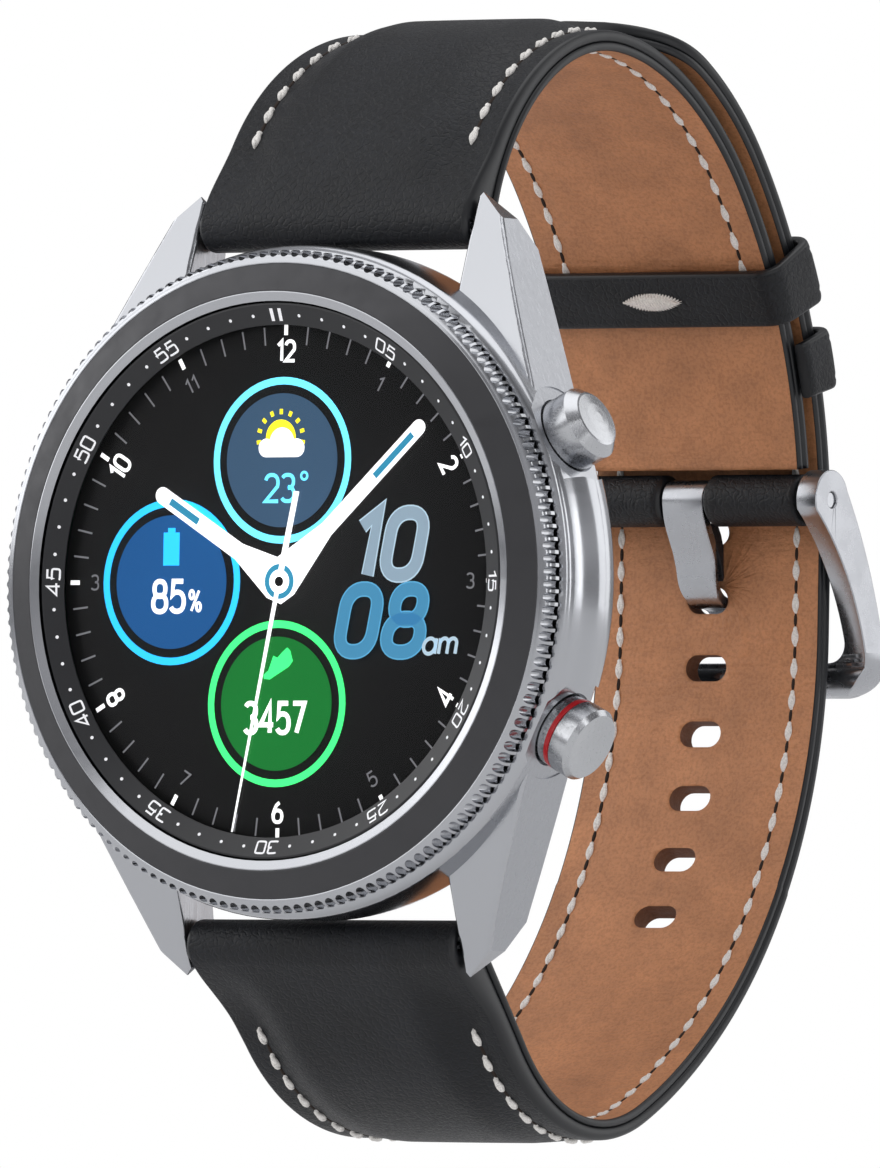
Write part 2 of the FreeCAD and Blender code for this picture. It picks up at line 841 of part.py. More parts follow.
def turned_pusher(label, side, profile):
    """A pusher turned from radius and distance pairs, then stood on its own axis."""
    body = lathe(f"{label}_body", profile)
    upright = Rotation(Vector(0, -1, 0), pusher_direction(side))
    body.Placement = Placement(Vector(), upright)
    body.setExpression("Placement.Base.y", (-mm.pusher_height).text)
    return piece(label, body)


def build_pushers():
    under, face = mm.pusher_under.value, mm.pusher_face.value
    radius, stem = mm.pusher_radius.value, mm.stem_radius.value
    inner = mm.stem_inner.value
    shaft = [
        (0, inner),
        (stem - 0.1, inner),
        (stem, inner + 0.1),
        (stem, inner + 0.45),
        (stem - 0.2, inner + 0.45),
        (stem - 0.2, inner + 0.75),
        (stem, inner + 0.75),
        (stem, under + 0.9),
        (1.9, under + 0.9),
        (1.9, under),
        (radius - 0.12, under),
        (radius, under + 0.12),
    ]
    domed = shaft + [
        (radius, face - 0.75),
        (radius - 0.62, face - 0.1),
        (radius - 0.75, face - 0.06),
        (radius - 1.5, face + 0.05),
        (0.4, face + 0.1),
        (0, face + 0.1),
    ]
    turned_pusher("upper_pusher", 1, domed)

    band_low, band_high, band_deep = under + 0.95, under + 1.3, 0.25
    dished = shaft + [
        (radius - 0.08, band_low),
        (radius - band_deep, band_low),
        (radius - band_deep, band_high),
        (radius - 0.08, band_high),
        (radius, band_high + 0.1),
        (radius, face - 0.35),
        (radius - 0.28, face - 0.02),
        (radius - 0.4, face - 0.02),
        (radius - 1.4, face - 0.18),
        (0.4, face - 0.24),
        (0, face - 0.24),
    ]
    turned_pusher("lower_pusher", -1, dished)
    red_ring = ring_along(-1, radius - band_deep, radius - 0.02, band_low, band_high)
    formed("lower_pusher_band", red_ring)

    for side, name in ((1, "upper"), (-1, "lower")):
        out = pusher_direction(side)
        seal = Part.makeTorus(1.0, 0.185, along_pusher(side, 20.3), out)
        formed(f"{name}_pusher_seal", seal)
        clip = ring_along(side, stem - 0.18, 1.45, inner + 0.48, inner + 0.72)
        gap_at = along_pusher(side, inner + 0.3) + Vector(-0.55, 0, 0)
        clip_gap = Part.makeBox(1.1, 2.5, 1.0)
        clip_gap.Placement = Placement(gap_at, Rotation(Vector(0, 0, 1), out))
        formed(f"{name}_pusher_clip", clip.cut(clip_gap))
        well = mm.pusher_well.value
        spring = coil(1.55, 0.12, 1.2, 3, along_pusher(side, well + 0.13), out)
        formed(f"{name}_pusher_spring", spring)
        switch = Part.makeBox(2.6, 3.0, 1.0, Vector(-1.3, -1.5, 0))
        switch.Placement = Placement(along_pusher(side, 16.0), Rotation(Vector(0, 0, 1), out))
        formed(f"{name}_switch", switch)


# ---------------------------------------------------------------- strap


def polar(centre, radius, degrees):
    """A point of the strap's side view, at an angle from +Y towards +Z."""
    angle = math.radians(degrees)
    return centre + Vector(0, radius * math.cos(angle), radius * math.sin(angle))


def bow(centre, radius, start, end):
    """An arc edge of the strap's side view."""
    return Part.Arc(
        polar(centre, radius, start),
        polar(centre, radius, (start + end) / 2),
        polar(centre, radius, end),
    ).toShape()


def ribbon(spans, near, far, half_width):
    """A solid between two distances above the surface that touches the wrist.

    Each span is its centre, its radius at that surface, and its first and last angle.
    """
    inner = [bow(centre, radius + near, start, end) for centre, radius, start, end in spans]
    outer = [bow(centre, radius + far, start, end) for centre, radius, start, end in spans]
    return extruded(inner, outer, half_width)


def extruded(inner, outer, half_width):
    """The face between two chains of edges, drawn out on both sides of the middle."""
    first = Part.makeLine(inner[0].Vertexes[0].Point, outer[0].Vertexes[0].Point)
    last = Part.makeLine(inner[-1].Vertexes[-1].Point, outer[-1].Vertexes[-1].Point)
    loop = Part.Wire(Part.__sortEdges__(inner + [last] + outer + [first]))
    face = Part.Face(loop)
    face.translate(Vector(-half_width, 0, 0))
    return face.extrude(Vector(2 * half_width, 0, 0))


def back_centre():
    """Centre of the arc that the back of both straps follows."""
    return Vector(0, 0, mm.back_centre_z.value)


def short_spans():
    """The 12 o'clock strap from the buckle's bar to the padded part's start."""
    back, crown = mm.short_back_radius.value, mm.short_crown_radius.value
    bend, bar = mm.short_back_angle.value, mm.buckle_bar_angle.value
    crown_centre = polar(back_centre(), back - crown, bend)
    return [
        (back_centre(), back, bar, bend),
        (crown_centre, crown, bend, mm.short_crown_angle.value),
    ]


def front_span(last_span, radius, end):
    """The arc that carries a strap on from its last span down to its spring bar."""
    centre, last_radius, _, start = last_span
    return (polar(centre, last_radius - radius, start), radius, start, end)


def padded_span(inner_span):
    """The outside of a padded front: its arc leaves the plain thickness and lifts away."""
    centre, radius, start, end = inner_span
    flat = radius + mm.leather.value + mm.lining.value
    gain = mm.padding_radius_gain.value
    return (polar(centre, -gain, start), flat + gain, start, end)


def long_spans():
    """The 6 o'clock strap's two arcs from its straight back, mirrored to run upwards."""
    back, front = mm.long_back_radius.value, mm.long_front_radius.value
    bend = mm.long_front_angle.value
    centre = Vector(0, mm.long_centre_y.value, -mm.long_centre_z.value)
    front_centre = polar(centre, back - front, bend)
    last = leaving_angle(front_centre, front + mm.nose_radius.value)
    return (centre, back, 0.0, bend), (front_centre, front, bend, last)


def leaving_angle(centre, reach):
    """Angle at which a straight run leaves an arc to touch the end loop round the spring bar."""
    to_bar = Vector(0, -mm.bar_height.value, mm.bar_z.value) - centre
    towards = math.degrees(math.atan2(to_bar.z, to_bar.y))
    return towards - math.degrees(math.acos(reach / to_bar.Length))


def tapered_plan():
    """A tall prism with the straps' plan: wide at the lugs and narrow at the buckle."""
    wide, narrow = mm.strap_wide.value / 2, mm.strap_narrow.value / 2
    right = [(wide, -12), (wide, -3), (narrow, 28), (narrow, 60)]
    left = [(-x, y) for x, y in reversed(right)]
    corners = [Vector(x, y, -60) for x, y in right + left]
    return Part.Face(Part.makePolygon(corners + corners[:1])).extrude(Vector(0, 0, 120))


def strap_front(inner_span, last):
    """The leather, lining and padding of a strap's padded front, before it is cut to plan."""
    lining, leather = mm.lining.value, mm.leather.value
    outer = padded_span(inner_span)
    half = mm.strap_wide.value / 2
    skin_inner = [bow(outer[0], outer[1] - leather, outer[2], last)]
    skin_outer = [bow(outer[0], outer[1], outer[2], last)]
    skin = extruded(skin_inner, skin_outer, half)
    backing = ribbon([inner_span], 0, lining, half)
    pad_start = inner_span[2] + 14.0
    pad_end = inner_span[3] - 1.0
    pad_inner = [bow(inner_span[0], inner_span[1] + lining + 0.02, pad_start, pad_end)]
    pad_outer = [bow(outer[0], outer[1] - leather - 0.02, pad_start, last - 1.0)]
    padding = extruded(pad_inner, pad_outer, half - 2.6)
    return skin, backing, padding


def nose(z, radius, bore, half_width):
    """The end loop of a strap, round its spring bar."""
    start = Vector(-half_width, -mm.bar_height.value, z)
    loop = Part.makeCylinder(radius, 2 * half_width, start, ACROSS)
    hole = Part.makeCylinder(bore, 2 * half_width, start, ACROSS)
    return loop, hole


def release_window(z):
    """The opening in a strap's end that the release knob slides in."""
    low = mm.knob_x.value - mm.release_travel.value - mm.knob_radius.value - 0.3
    high = mm.knob_x.value + mm.knob_radius.value + 0.3
    deep = 4.0
    high_side = 1.3
    return Part.makeBox(
        high - low, deep, high_side, Vector(low, -mm.bar_height.value, z - high_side / 2)
    )


def hole_places():
    """Middle point and outward angle of each hole, from the buckle down the long strap."""
    mid = (mm.leather.value + mm.lining.value) / 2
    straight_top, straight_end = mm.back_centre_z.value, mm.long_centre_z.value
    arc_centre = Vector(0, mm.long_centre_y.value, straight_end)
    arc_radius = mm.long_back_radius.value + mid
    tail_radius = mm.tail_radius.value + mid
    places = []
    for number in range(int(mm.hole_count.value)):
        z = mm.hole_used_z.value + (1 - number) * mm.hole_pitch.value
        if z > straight_top:
            angle = math.degrees((z - straight_top) / tail_radius)
            places.append((polar(back_centre(), tail_radius, angle), angle))
        elif z > straight_end:
            places.append((Vector(0, tail_radius, z), 0.0))
        else:
            angle = math.degrees((z - straight_end) / arc_radius)
            places.append((polar(arc_centre, arc_radius, angle), angle))
    return places


def hole_cutter(middle, angle):
    """An oblong punch through the strap."""
    end = mm.hole_high.value / 2
    reach = mm.hole_wide.value / 2 - end
    deep = 6.0
    out = polar(Vector(), 1, angle)
    start = middle - out * deep / 2
    sides = [
        Part.makeCylinder(end, deep, start + ACROSS * x, out) for x in (-reach, reach)
    ]
    up = Vector(0, -out.z, out.y)
    corner = start - ACROSS * reach - up * end
    flat = Part.makePolygon(
        [
            corner,
            corner + ACROSS * 2 * reach,
            corner + ACROSS * 2 * reach + up * 2 * end,
            corner + up * 2 * end,
            corner,
        ]
    )
    return Part.Face(flat).extrude(out * deep).multiFuse(sides)


def build_short_strap():
    lining, leather = mm.lining.value, mm.leather.value
    half = mm.strap_wide.value / 2
    spans = short_spans()
    front = front_span(spans[-1], mm.short_front_radius.value, 169.0)
    skin, backing, padding = strap_front(front, 161.5)
    plan = tapered_plan()
    loop, bore = nose(mm.bar_z.value, mm.nose_radius.value, mm.tube_radius.value + 0.05, half)

    bar = polar(back_centre(), 38.5, mm.buckle_bar_angle.value)
    end_half = mm.strap_narrow.value / 2
    end_start = bar - ACROSS * end_half
    end_loop = Part.makeCylinder(mm.buckle_nose_radius.value, 2 * end_half, end_start, ACROSS)
    end_bore = Part.makeCylinder(
        mm.buckle_bar_radius.value + 0.03, 2 * end_half, end_start, ACROSS
    )
    prong_half = mm.prong_wide.value / 2 + 0.3
    prong_room = Part.makeBox(2 * prong_half, 8, 5.5, Vector(-prong_half, bar.y - 4, bar.z - 3.5))
    skin_back = ribbon(spans, lining, lining + leather, half)
    outer = skin.fuse(skin_back).common(plan).fuse(end_loop).fuse(loop)
    outer = outer.cut(bore).cut(end_bore).cut(prong_room).cut(release_window(mm.bar_z.value))
    formed("short_strap_leather", outer.removeSplitter())

    lining_back = ribbon(spans, 0, lining, half)
    inner = lining_back.fuse(backing).common(plan)
    inner = inner.cut(loop).cut(end_loop).cut(prong_room).cut(release_window(mm.bar_z.value))
    formed("short_strap_lining", inner.removeSplitter())
    formed("short_strap_padding", padding.common(plan).cut(loop))


def build_long_strap():
    lining, leather = mm.lining.value, mm.leather.value
    half = mm.strap_wide.value / 2
    arc, front = long_spans()
    outside = padded_span(front)
    last = leaving_angle(outside[0], outside[1] - mm.nose_radius.value)
    skin, backing, padding = strap_front(front, last)
    flip = Matrix(1, 0, 0, 0, 0, 1, 0, 0, 0, 0, -1, 0)
    plan = tapered_plan()
    loop, bore = nose(-mm.bar_z.value, mm.nose_radius.value, mm.tube_radius.value + 0.05, half)
    bridge_inner, bridge_skin = long_bridge(front, outside, last)

    tail_half = mm.strap_narrow.value / 2 - 0.05
    tail_spans, straight_low, straight_high = tail_parts()
    tip = tail_tip_plan(tail_half)
    punches = [hole_cutter(middle, angle) for middle, angle in hole_places()]
    punch = punches[0].multiFuse(punches[1:])
    window = release_window(-mm.bar_z.value)

    def layer(near, far, front_solid, bridge):
        main = ribbon([arc], near, far, half).fuse(front_solid).fuse(bridge)
        main = main.transformGeometry(flip).common(plan)
        straight = Part.makeBox(
            2 * tail_half,
            far - near,
            straight_high - straight_low,
            Vector(-tail_half, mm.tail_radius.value + near, straight_low),
        )
        tail = ribbon(tail_spans, near, far, tail_half).common(tip)
        return main.fuse(straight).fuse(tail).cut(punch).cut(window)

    outer = layer(lining, lining + leather, skin, bridge_skin).fuse(loop).cut(bore).cut(window)
    formed("long_strap_leather", outer.removeSplitter())
    inner = layer(0, lining, backing, bridge_inner).cut(loop)
    formed("long_strap_lining", inner.removeSplitter())
    padding = padding.transformGeometry(flip).common(plan).cut(loop)
    formed("long_strap_padding", padding)


def long_bridge(front, outside, last):
    """The straight run between the long strap's padded arc and its spring bar, still mirrored."""
    lining, leather = mm.lining.value, mm.leather.value
    half, nose_radius = mm.strap_wide.value / 2, mm.nose_radius.value
    bar = Vector(0, -mm.bar_height.value, mm.bar_z.value)

    def run(points):
        corners = [p - ACROSS * half for p in points]
        return Part.Face(Part.makePolygon(corners + corners[:1])).extrude(ACROSS * 2 * half)

    skin = run(
        [
            polar(outside[0], outside[1], last),
            polar(outside[0], outside[1] - leather, last),
            polar(bar, nose_radius - leather, last),
            polar(bar, nose_radius, last),
        ]
    )
    centre, radius, _, end = front
    inner = run(
        [
            polar(centre, radius, end),
            polar(centre, radius + lining, end),
            polar(bar, lining - nose_radius, end),
            polar(bar, -nose_radius, end),
        ]
    )
    return inner, skin


def tail_parts():
    """The tail's arcs above the buckle, and the straight run through the buckle."""
    back, crown = mm.tail_radius.value, mm.tail_crown_radius.value
    bend = mm.short_back_angle.value
    crown_centre = polar(back_centre(), back - crown, bend)
    spans = [(back_centre(), back, 0.0, bend), (crown_centre, crown, bend, 84.0)]
    return spans, mm.long_centre_z.value, mm.back_centre_z.value


def tail_tip_plan(half):
    """A prism that rounds the tail's tip, seen from above."""
    tip_y, corner = mm.tail_tip_y.value, mm.tail_tip_corner.value
    edges = [
        Part.makeLine(Vector(half, 60, -10), Vector(half, tip_y + corner, -10)),
        Part.Arc(
            Vector(half, tip_y + corner, -10),
            Vector(half - corner * 0.36, tip_y + corner * 0.24, -10),
            Vector(half - corner, tip_y, -10),
        ).toShape(),
        Part.makeLine(Vector(half - corner, tip_y, -10), Vector(corner - half, tip_y, -10)),
        Part.Arc(
            Vector(corner - half, tip_y, -10),
            Vector(corner * 0.36 - half, tip_y + corner * 0.24, -10),
            Vector(-half, tip_y + corner, -10),
        ).toShape(),
        Part.makeLine(Vector(-half, tip_y + corner, -10), Vector(-half, 60, -10)),
        Part.makeLine(Vector(-half, 60, -10), Vector(half, 60, -10)),
    ]
    return Part.Face(Part.Wire(edges)).extrude(Vector(0, 0, 70))


# ---------------------------------------------------------------- keepers


def band_sector(half, near, far, middle, wide):
    """A block across the straps that follows their back arc, between two radii."""
    sweep = math.degrees(wide / far)
    corners = [
        Vector(-half, near, 0),
        Vector(half, near, 0),
        Vector(half, far, 0),
        Vector(-half, far, 0),
    ]
    face = Part.Face(Part.makePolygon(corners + corners[:1]))
    face.rotate(Vector(), ACROSS, middle - sweep / 2)
    face.translate(back_centre())
    return face.revolve(back_centre(), ACROSS, sweep)


def build_keepers():
    thick, gap = mm.keeper_thick.value, mm.keeper_gap.value
    narrow = mm.strap_narrow.value / 2
    inside = mm.short_back_radius.value - gap
    outside = mm.tail_radius.value + mm.leather.value + mm.lining.value + gap
    angle, wide = mm.free_keeper_angle.value, mm.free_keeper_wide.value
    half = narrow + gap
    free = band_sector(half + thick, inside - thick, outside + thick, angle, wide)
    room = band_sector(half, inside, outside, angle, wide + 2)
    formed("free_keeper", free.cut(room))

    seam = mm.short_back_radius.value + mm.lining.value + 0.1
    angle, wide = mm.fixed_keeper_angle.value, mm.fixed_keeper_wide.value
    half = narrow + 0.02
    fixed = band_sector(half + thick, seam, outside + thick, angle, wide)
    room = band_sector(half, seam - 1, outside, angle, wide + 2)
    formed("fixed_keeper", fixed.cut(room))


# ---------------------------------------------------------------- buckle


def bar_centre():
    """Axis of the buckle's bar in the strap's side view."""
    return polar(back_centre(), 38.5, mm.buckle_bar_angle.value)


def build_buckle():
    bar = bar_centre()
    arm, inner_half = mm.buckle_arm.value, mm.strap_narrow.value / 2 + 0.5
    outer_half = inner_half + arm

    def at(dy, dz):
        return bar + Vector(0, dy, dz)

    head = 2.05
    turn = [polar(bar, head, a) for a in (200.0, 110.0, 20.0)]
    outline = [
        Part.Arc(*turn).toShape(),
        Part.Arc(turn[2], at(5.15, -5.2), at(7.1, -11.2)).toShape(),
        Part.Arc(at(7.1, -11.2), at(6.9, -12.9), at(5.5, -13.2)).toShape(),
        Part.Arc(at(5.5, -13.2), at(4.55, -12.6), at(4.7, -11.2)).toShape(),
        Part.Arc(at(4.7, -11.2), at(2.35, -5.6), turn[0]).toShape(),
    ]
    face = Part.Face(Part.Wire(outline))
    face.translate(Vector(-outer_half, 0, 0))
    frame = face.extrude(Vector(2 * outer_half, 0, 0))
    opening = Part.makeBox(2 * inner_half, 14, 15.2, Vector(-inner_half, bar.y - 4, bar.z - 10.9))
    corner = 1.6
    upright = [e for e in opening.Edges if is_lower_corner(e, bar.z - 10.9)]
    frame = frame.cut(opening.makeFillet(corner, upright))
    frame = rounded_buckle_corners(frame, outer_half, bar)
    bore = Part.makeCylinder(0.55, 40, bar - ACROSS * 20, ACROSS)
    formed("buckle_frame", frame.cut(bore))

    pin_half = mm.strap_narrow.value / 2 + 0.3
    thick_bar = Part.makeCylinder(
        mm.buckle_bar_radius.value, 2 * pin_half, bar - ACROSS * pin_half, ACROSS
    )
    tips = Part.makeCylinder(0.5, 2 * outer_half - 0.3, bar - ACROSS * (outer_half - 0.15), ACROSS)
    formed("buckle_bar", thick_bar.fuse(tips).removeSplitter())


def is_lower_corner(edge, low):
    """True for the opening's two bottom edges that run from front to back."""
    middle = edge.valueAt((edge.FirstParameter + edge.LastParameter) / 2)
    along_y = abs(edge.tangentAt(edge.FirstParameter).y) > 0.99
    return along_y and abs(middle.z - low) < 0.01


def rounded_buckle_corners(frame, outer_half, bar):
    """The frame's two bottom corners rounded off, seen from the back."""
    radius = 3.2
    low = bar.z - 13.4
    for side in (1, -1):
        corner = Part.makeBox(radius + 1, 14, radius + 1)
        x = outer_half - radius if side > 0 else -outer_half - 1
        corner.translate(Vector(x, bar.y - 4, low - 1))
        centre = Vector(side * (outer_half - radius), bar.y - 5, low + radius)
        keep = Part.makeCylinder(radius, 16, centre, TOWARDS_BACK)
        frame = frame.cut(corner.cut(keep))
    return frame


def prong_plan(half, strap_in):
    """The tongue's outline seen along the strap: full width inside it, narrower through the hole."""
    tip = mm.prong_tip_wide.value / 2
    corners = [(-half, 20), (half, 20), (half, strap_in - 1.7), (tip, strap_in - 0.7), (tip, 60)]
    corners += [(-tip, 60), (-tip, strap_in - 0.7), (-half, strap_in - 1.7), (-half, 20)]
    outline = Part.makePolygon([Vector(x, y, -20) for x, y in corners])
    return Part.Face(outline).extrude(Vector(0, 0, 40))


def build_prong():
    """A flat tongue: down inside the strap, out through the hole in use, and onto the frame."""
    bar = bar_centre()
    half, thick = mm.prong_wide.value / 2, mm.prong_thick.value
    through = mm.hole_used_z.value
    strap_in = mm.tail_radius.value
    strap_out = strap_in + mm.leather.value + mm.lining.value
    front = bar.y - mm.prong_loop.value + thick / 2
    middle = [
        Vector(0, front, bar.z),
        Vector(0, front + 0.6, bar.z - 1.95),
        Vector(0, front + 1.75, bar.z - 4.2),
        Vector(0, strap_in - 0.95, through + 0.95),
        Vector(0, strap_in - 0.3, through + 0.15),
        Vector(0, strap_in + 0.6, through - 0.15),
        Vector(0, strap_out + 0.25, through - 0.2),
        Vector(0, strap_out + 1.25, through - 0.75),
        Vector(0, strap_out + 1.85, through - 2.2),
        Vector(0, bar.y + 7.75, bar.z - 10.6),
        Vector(0, bar.y + 7.85, bar.z - 12.9),
    ]
    route = Part.BSplineCurve()
    route.interpolate(middle)
    count = 28
    params = [route.FirstParameter + (route.LastParameter - route.FirstParameter) * n / count
              for n in range(count + 1)]
    inner, outer = [], []
    for param in params:
        point = route.value(param)
        tangent = Vector(*route.tangent(param)[0])
        side = tangent.cross(ACROSS) * (thick / 2)
        inner.append(point + side)
        outer.append(point - side)
    left, right = Part.BSplineCurve(), Part.BSplineCurve()
    left.interpolate(inner)
    right.interpolate(outer)
    loop = [
        left.toShape(),
        Part.makeLine(inner[-1], outer[-1]),
        right.toShape(),
        Part.makeLine(outer[0], inner[0]),
    ]
    face = Part.Face(Part.Wire(Part.__sortEdges__(loop)))
    face.translate(Vector(-half, 0, 0))
    tongue = face.extrude(Vector(2 * half, 0, 0)).common(prong_plan(half, strap_in))
    ring = Part.makeCylinder(mm.prong_loop.value, 2 * half, bar - ACROSS * half, ACROSS)
    bore_radius = mm.buckle_bar_radius.value + 0.04
    bore = Part.makeCylinder(bore_radius, 2 * half, bar - ACROSS * half, ACROSS)
    formed("buckle_prong", tongue.fuse(ring).cut(bore).removeSplitter())


# ---------------------------------------------------------------- spring bars


def build_spring_bar(name, z):
    """A quick-release bar: a tube, a fixed pin, and a plunger with its knob and spring."""
    y = -mm.bar_height
    half = mm.tube_length / 2
    tube = rod(f"{name}_tube_blank", mm.tube_radius, mm.tube_length, (-half, y, z), ACROSS)
    bore = rod(f"{name}_tube_bore", mm.tube_bore, mm.tube_length, (-half, y, z), ACROSS)
    slot_low = mm.knob_x - mm.release_travel - mm.knob_radius - 0.15
    slot_long = mm.release_travel + mm.knob_radius * 2 + 0.3
    slot_high = mm.knob_radius * 2 + 0.1
    slot = block(f"{name}_slot", (slot_long, 2, slot_high), (slot_low, y, z - slot_high / 2))
    piece(f"{name}_tube", cut(f"{name}_tube_cut", tube, bore, slot))

    reach = mm.lug_gap / 2 + mm.pin_reach
    fixed_long = 4.0
    fixed = rod(f"{name}_fixed", mm.pin_radius, fixed_long, (-reach, y, z), ACROSS)
    piece(f"{name}_fixed_pin", fixed)

    shaft_low = mm.knob_x - mm.knob_radius
    shaft = rod(f"{name}_shaft", mm.pin_radius, reach - shaft_low, (shaft_low, y, z), ACROSS)
    knob = rod(f"{name}_knob", mm.knob_radius, mm.knob_reach, (mm.knob_x, y, z), TOWARDS_BACK)
    plunger = fuse(f"{name}_plunger_blank", shaft, knob)
    piece(f"{name}_plunger", plunger)

    spring_long = 4.6
    start = shaft_low.value - 0.08 - spring_long
    base = Vector(start, y.value, z.value)
    formed(f"{name}_spring", coil(0.33, 0.09, spring_long, 9, base, ACROSS))


# ---------------------------------------------------------------- build and write


def check_document():
    """Stops if any object failed to build or any sub-part isn't a valid solid."""
    doc.recompute()
    failed = [o.Label for o in doc.Objects if "Invalid" in o.State or "Error" in o.State]
    bad = [o.Label for o in nodes if o.Shape.isNull() or not o.Shape.isValid()]
    empty = [o.Label for o in nodes if o.Label not in bad and not o.Shape.Solids]
    if failed or bad or empty:
        raise RuntimeError(f"failed {failed}, not valid {bad}, without a solid {empty}")


def write_parts():
    """Writes one STEP file for each sub-part."""
    os.makedirs("parts", exist_ok=True)
    for obj in nodes:
        obj.Shape.exportStep(f"parts/{obj.Label}.step")
        print(f"{obj.Label}: {len(obj.Shape.Solids)} solid(s), {obj.Shape.Volume:.2f} mm3")


build_display()
build_bezel()
build_bezel_hardware()
build_case()
build_back()
build_inside()
build_pushers()
build_short_strap()
build_long_strap()
build_keepers()
build_buckle()
build_prong()
build_spring_bar("top_bar", mm.bar_z)
build_spring_bar("bottom_bar", -mm.bar_z)
check_document()
write_parts()
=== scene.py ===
"""Looks for a smartwatch: steel case with a coin-edge bezel, a lit dial and a stitched leather strap.

Lengths are millimetres unless a name ends in _m. +X is towards 3 o'clock, +Z towards 12 o'clock, and
the dial faces -Y, so a height above the wrist face becomes a Y of the same size with a minus sign.
"""

import logging
import math
from collections.abc import Callable, Sequence
from dataclasses import dataclass, field
from enum import Enum
from typing import ClassVar

import bmesh
import bpy
import numpy as np
from mathutils import Matrix, Vector


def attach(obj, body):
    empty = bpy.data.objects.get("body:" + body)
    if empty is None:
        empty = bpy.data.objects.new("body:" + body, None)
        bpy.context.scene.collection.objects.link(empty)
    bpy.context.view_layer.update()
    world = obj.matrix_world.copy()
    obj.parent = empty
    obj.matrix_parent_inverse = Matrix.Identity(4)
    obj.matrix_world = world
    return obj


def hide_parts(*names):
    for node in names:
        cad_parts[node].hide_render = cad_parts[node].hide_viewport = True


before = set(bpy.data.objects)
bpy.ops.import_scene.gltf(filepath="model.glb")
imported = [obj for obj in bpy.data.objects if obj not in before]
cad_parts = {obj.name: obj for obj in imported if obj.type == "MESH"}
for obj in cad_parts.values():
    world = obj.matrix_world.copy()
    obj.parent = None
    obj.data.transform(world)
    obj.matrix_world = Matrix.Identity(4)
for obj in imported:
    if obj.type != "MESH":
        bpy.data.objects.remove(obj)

logging.basicConfig(level=logging.INFO, format="%(message)s")
log = logging.getLogger("smartwatch")

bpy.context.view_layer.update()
MM = 0.001
Point = tuple[float, float]
Point3 = tuple[float, float, float]
Tree = bpy.types.NodeTree
Socket = bpy.types.NodeSocket


# ---------------------------------------------------------------- finishes


class Grain(Enum):
    """What roughens a finish."""

    NONE = "none"
    LEATHER = "leather"
    LINING = "lining"
    BRUSHED_LONG = "brushed_long"
    BRUSHED_ROUND = "brushed_round"
    SATIN = "satin"
    THREAD = "thread"


@dataclass(frozen=True)
class Finish:
    """One surface finish.

    Attributes:
        name: Material name.
        color: Linear base colour.
        metallic: 0 or 1.
        roughness: Mean roughness.
        grain: Pattern of the fine relief.
        glow: Strength of the light it gives off.
        clear: True for a see-through glass.
        coat: Weight of a clear coat.
    """

    name: str
    color: Point3
    metallic: float = 0.0
    roughness: float = 0.4
    grain: Grain = Grain.NONE
    glow: float = 0.0
    clear: bool = False
    coat: float = 0.0


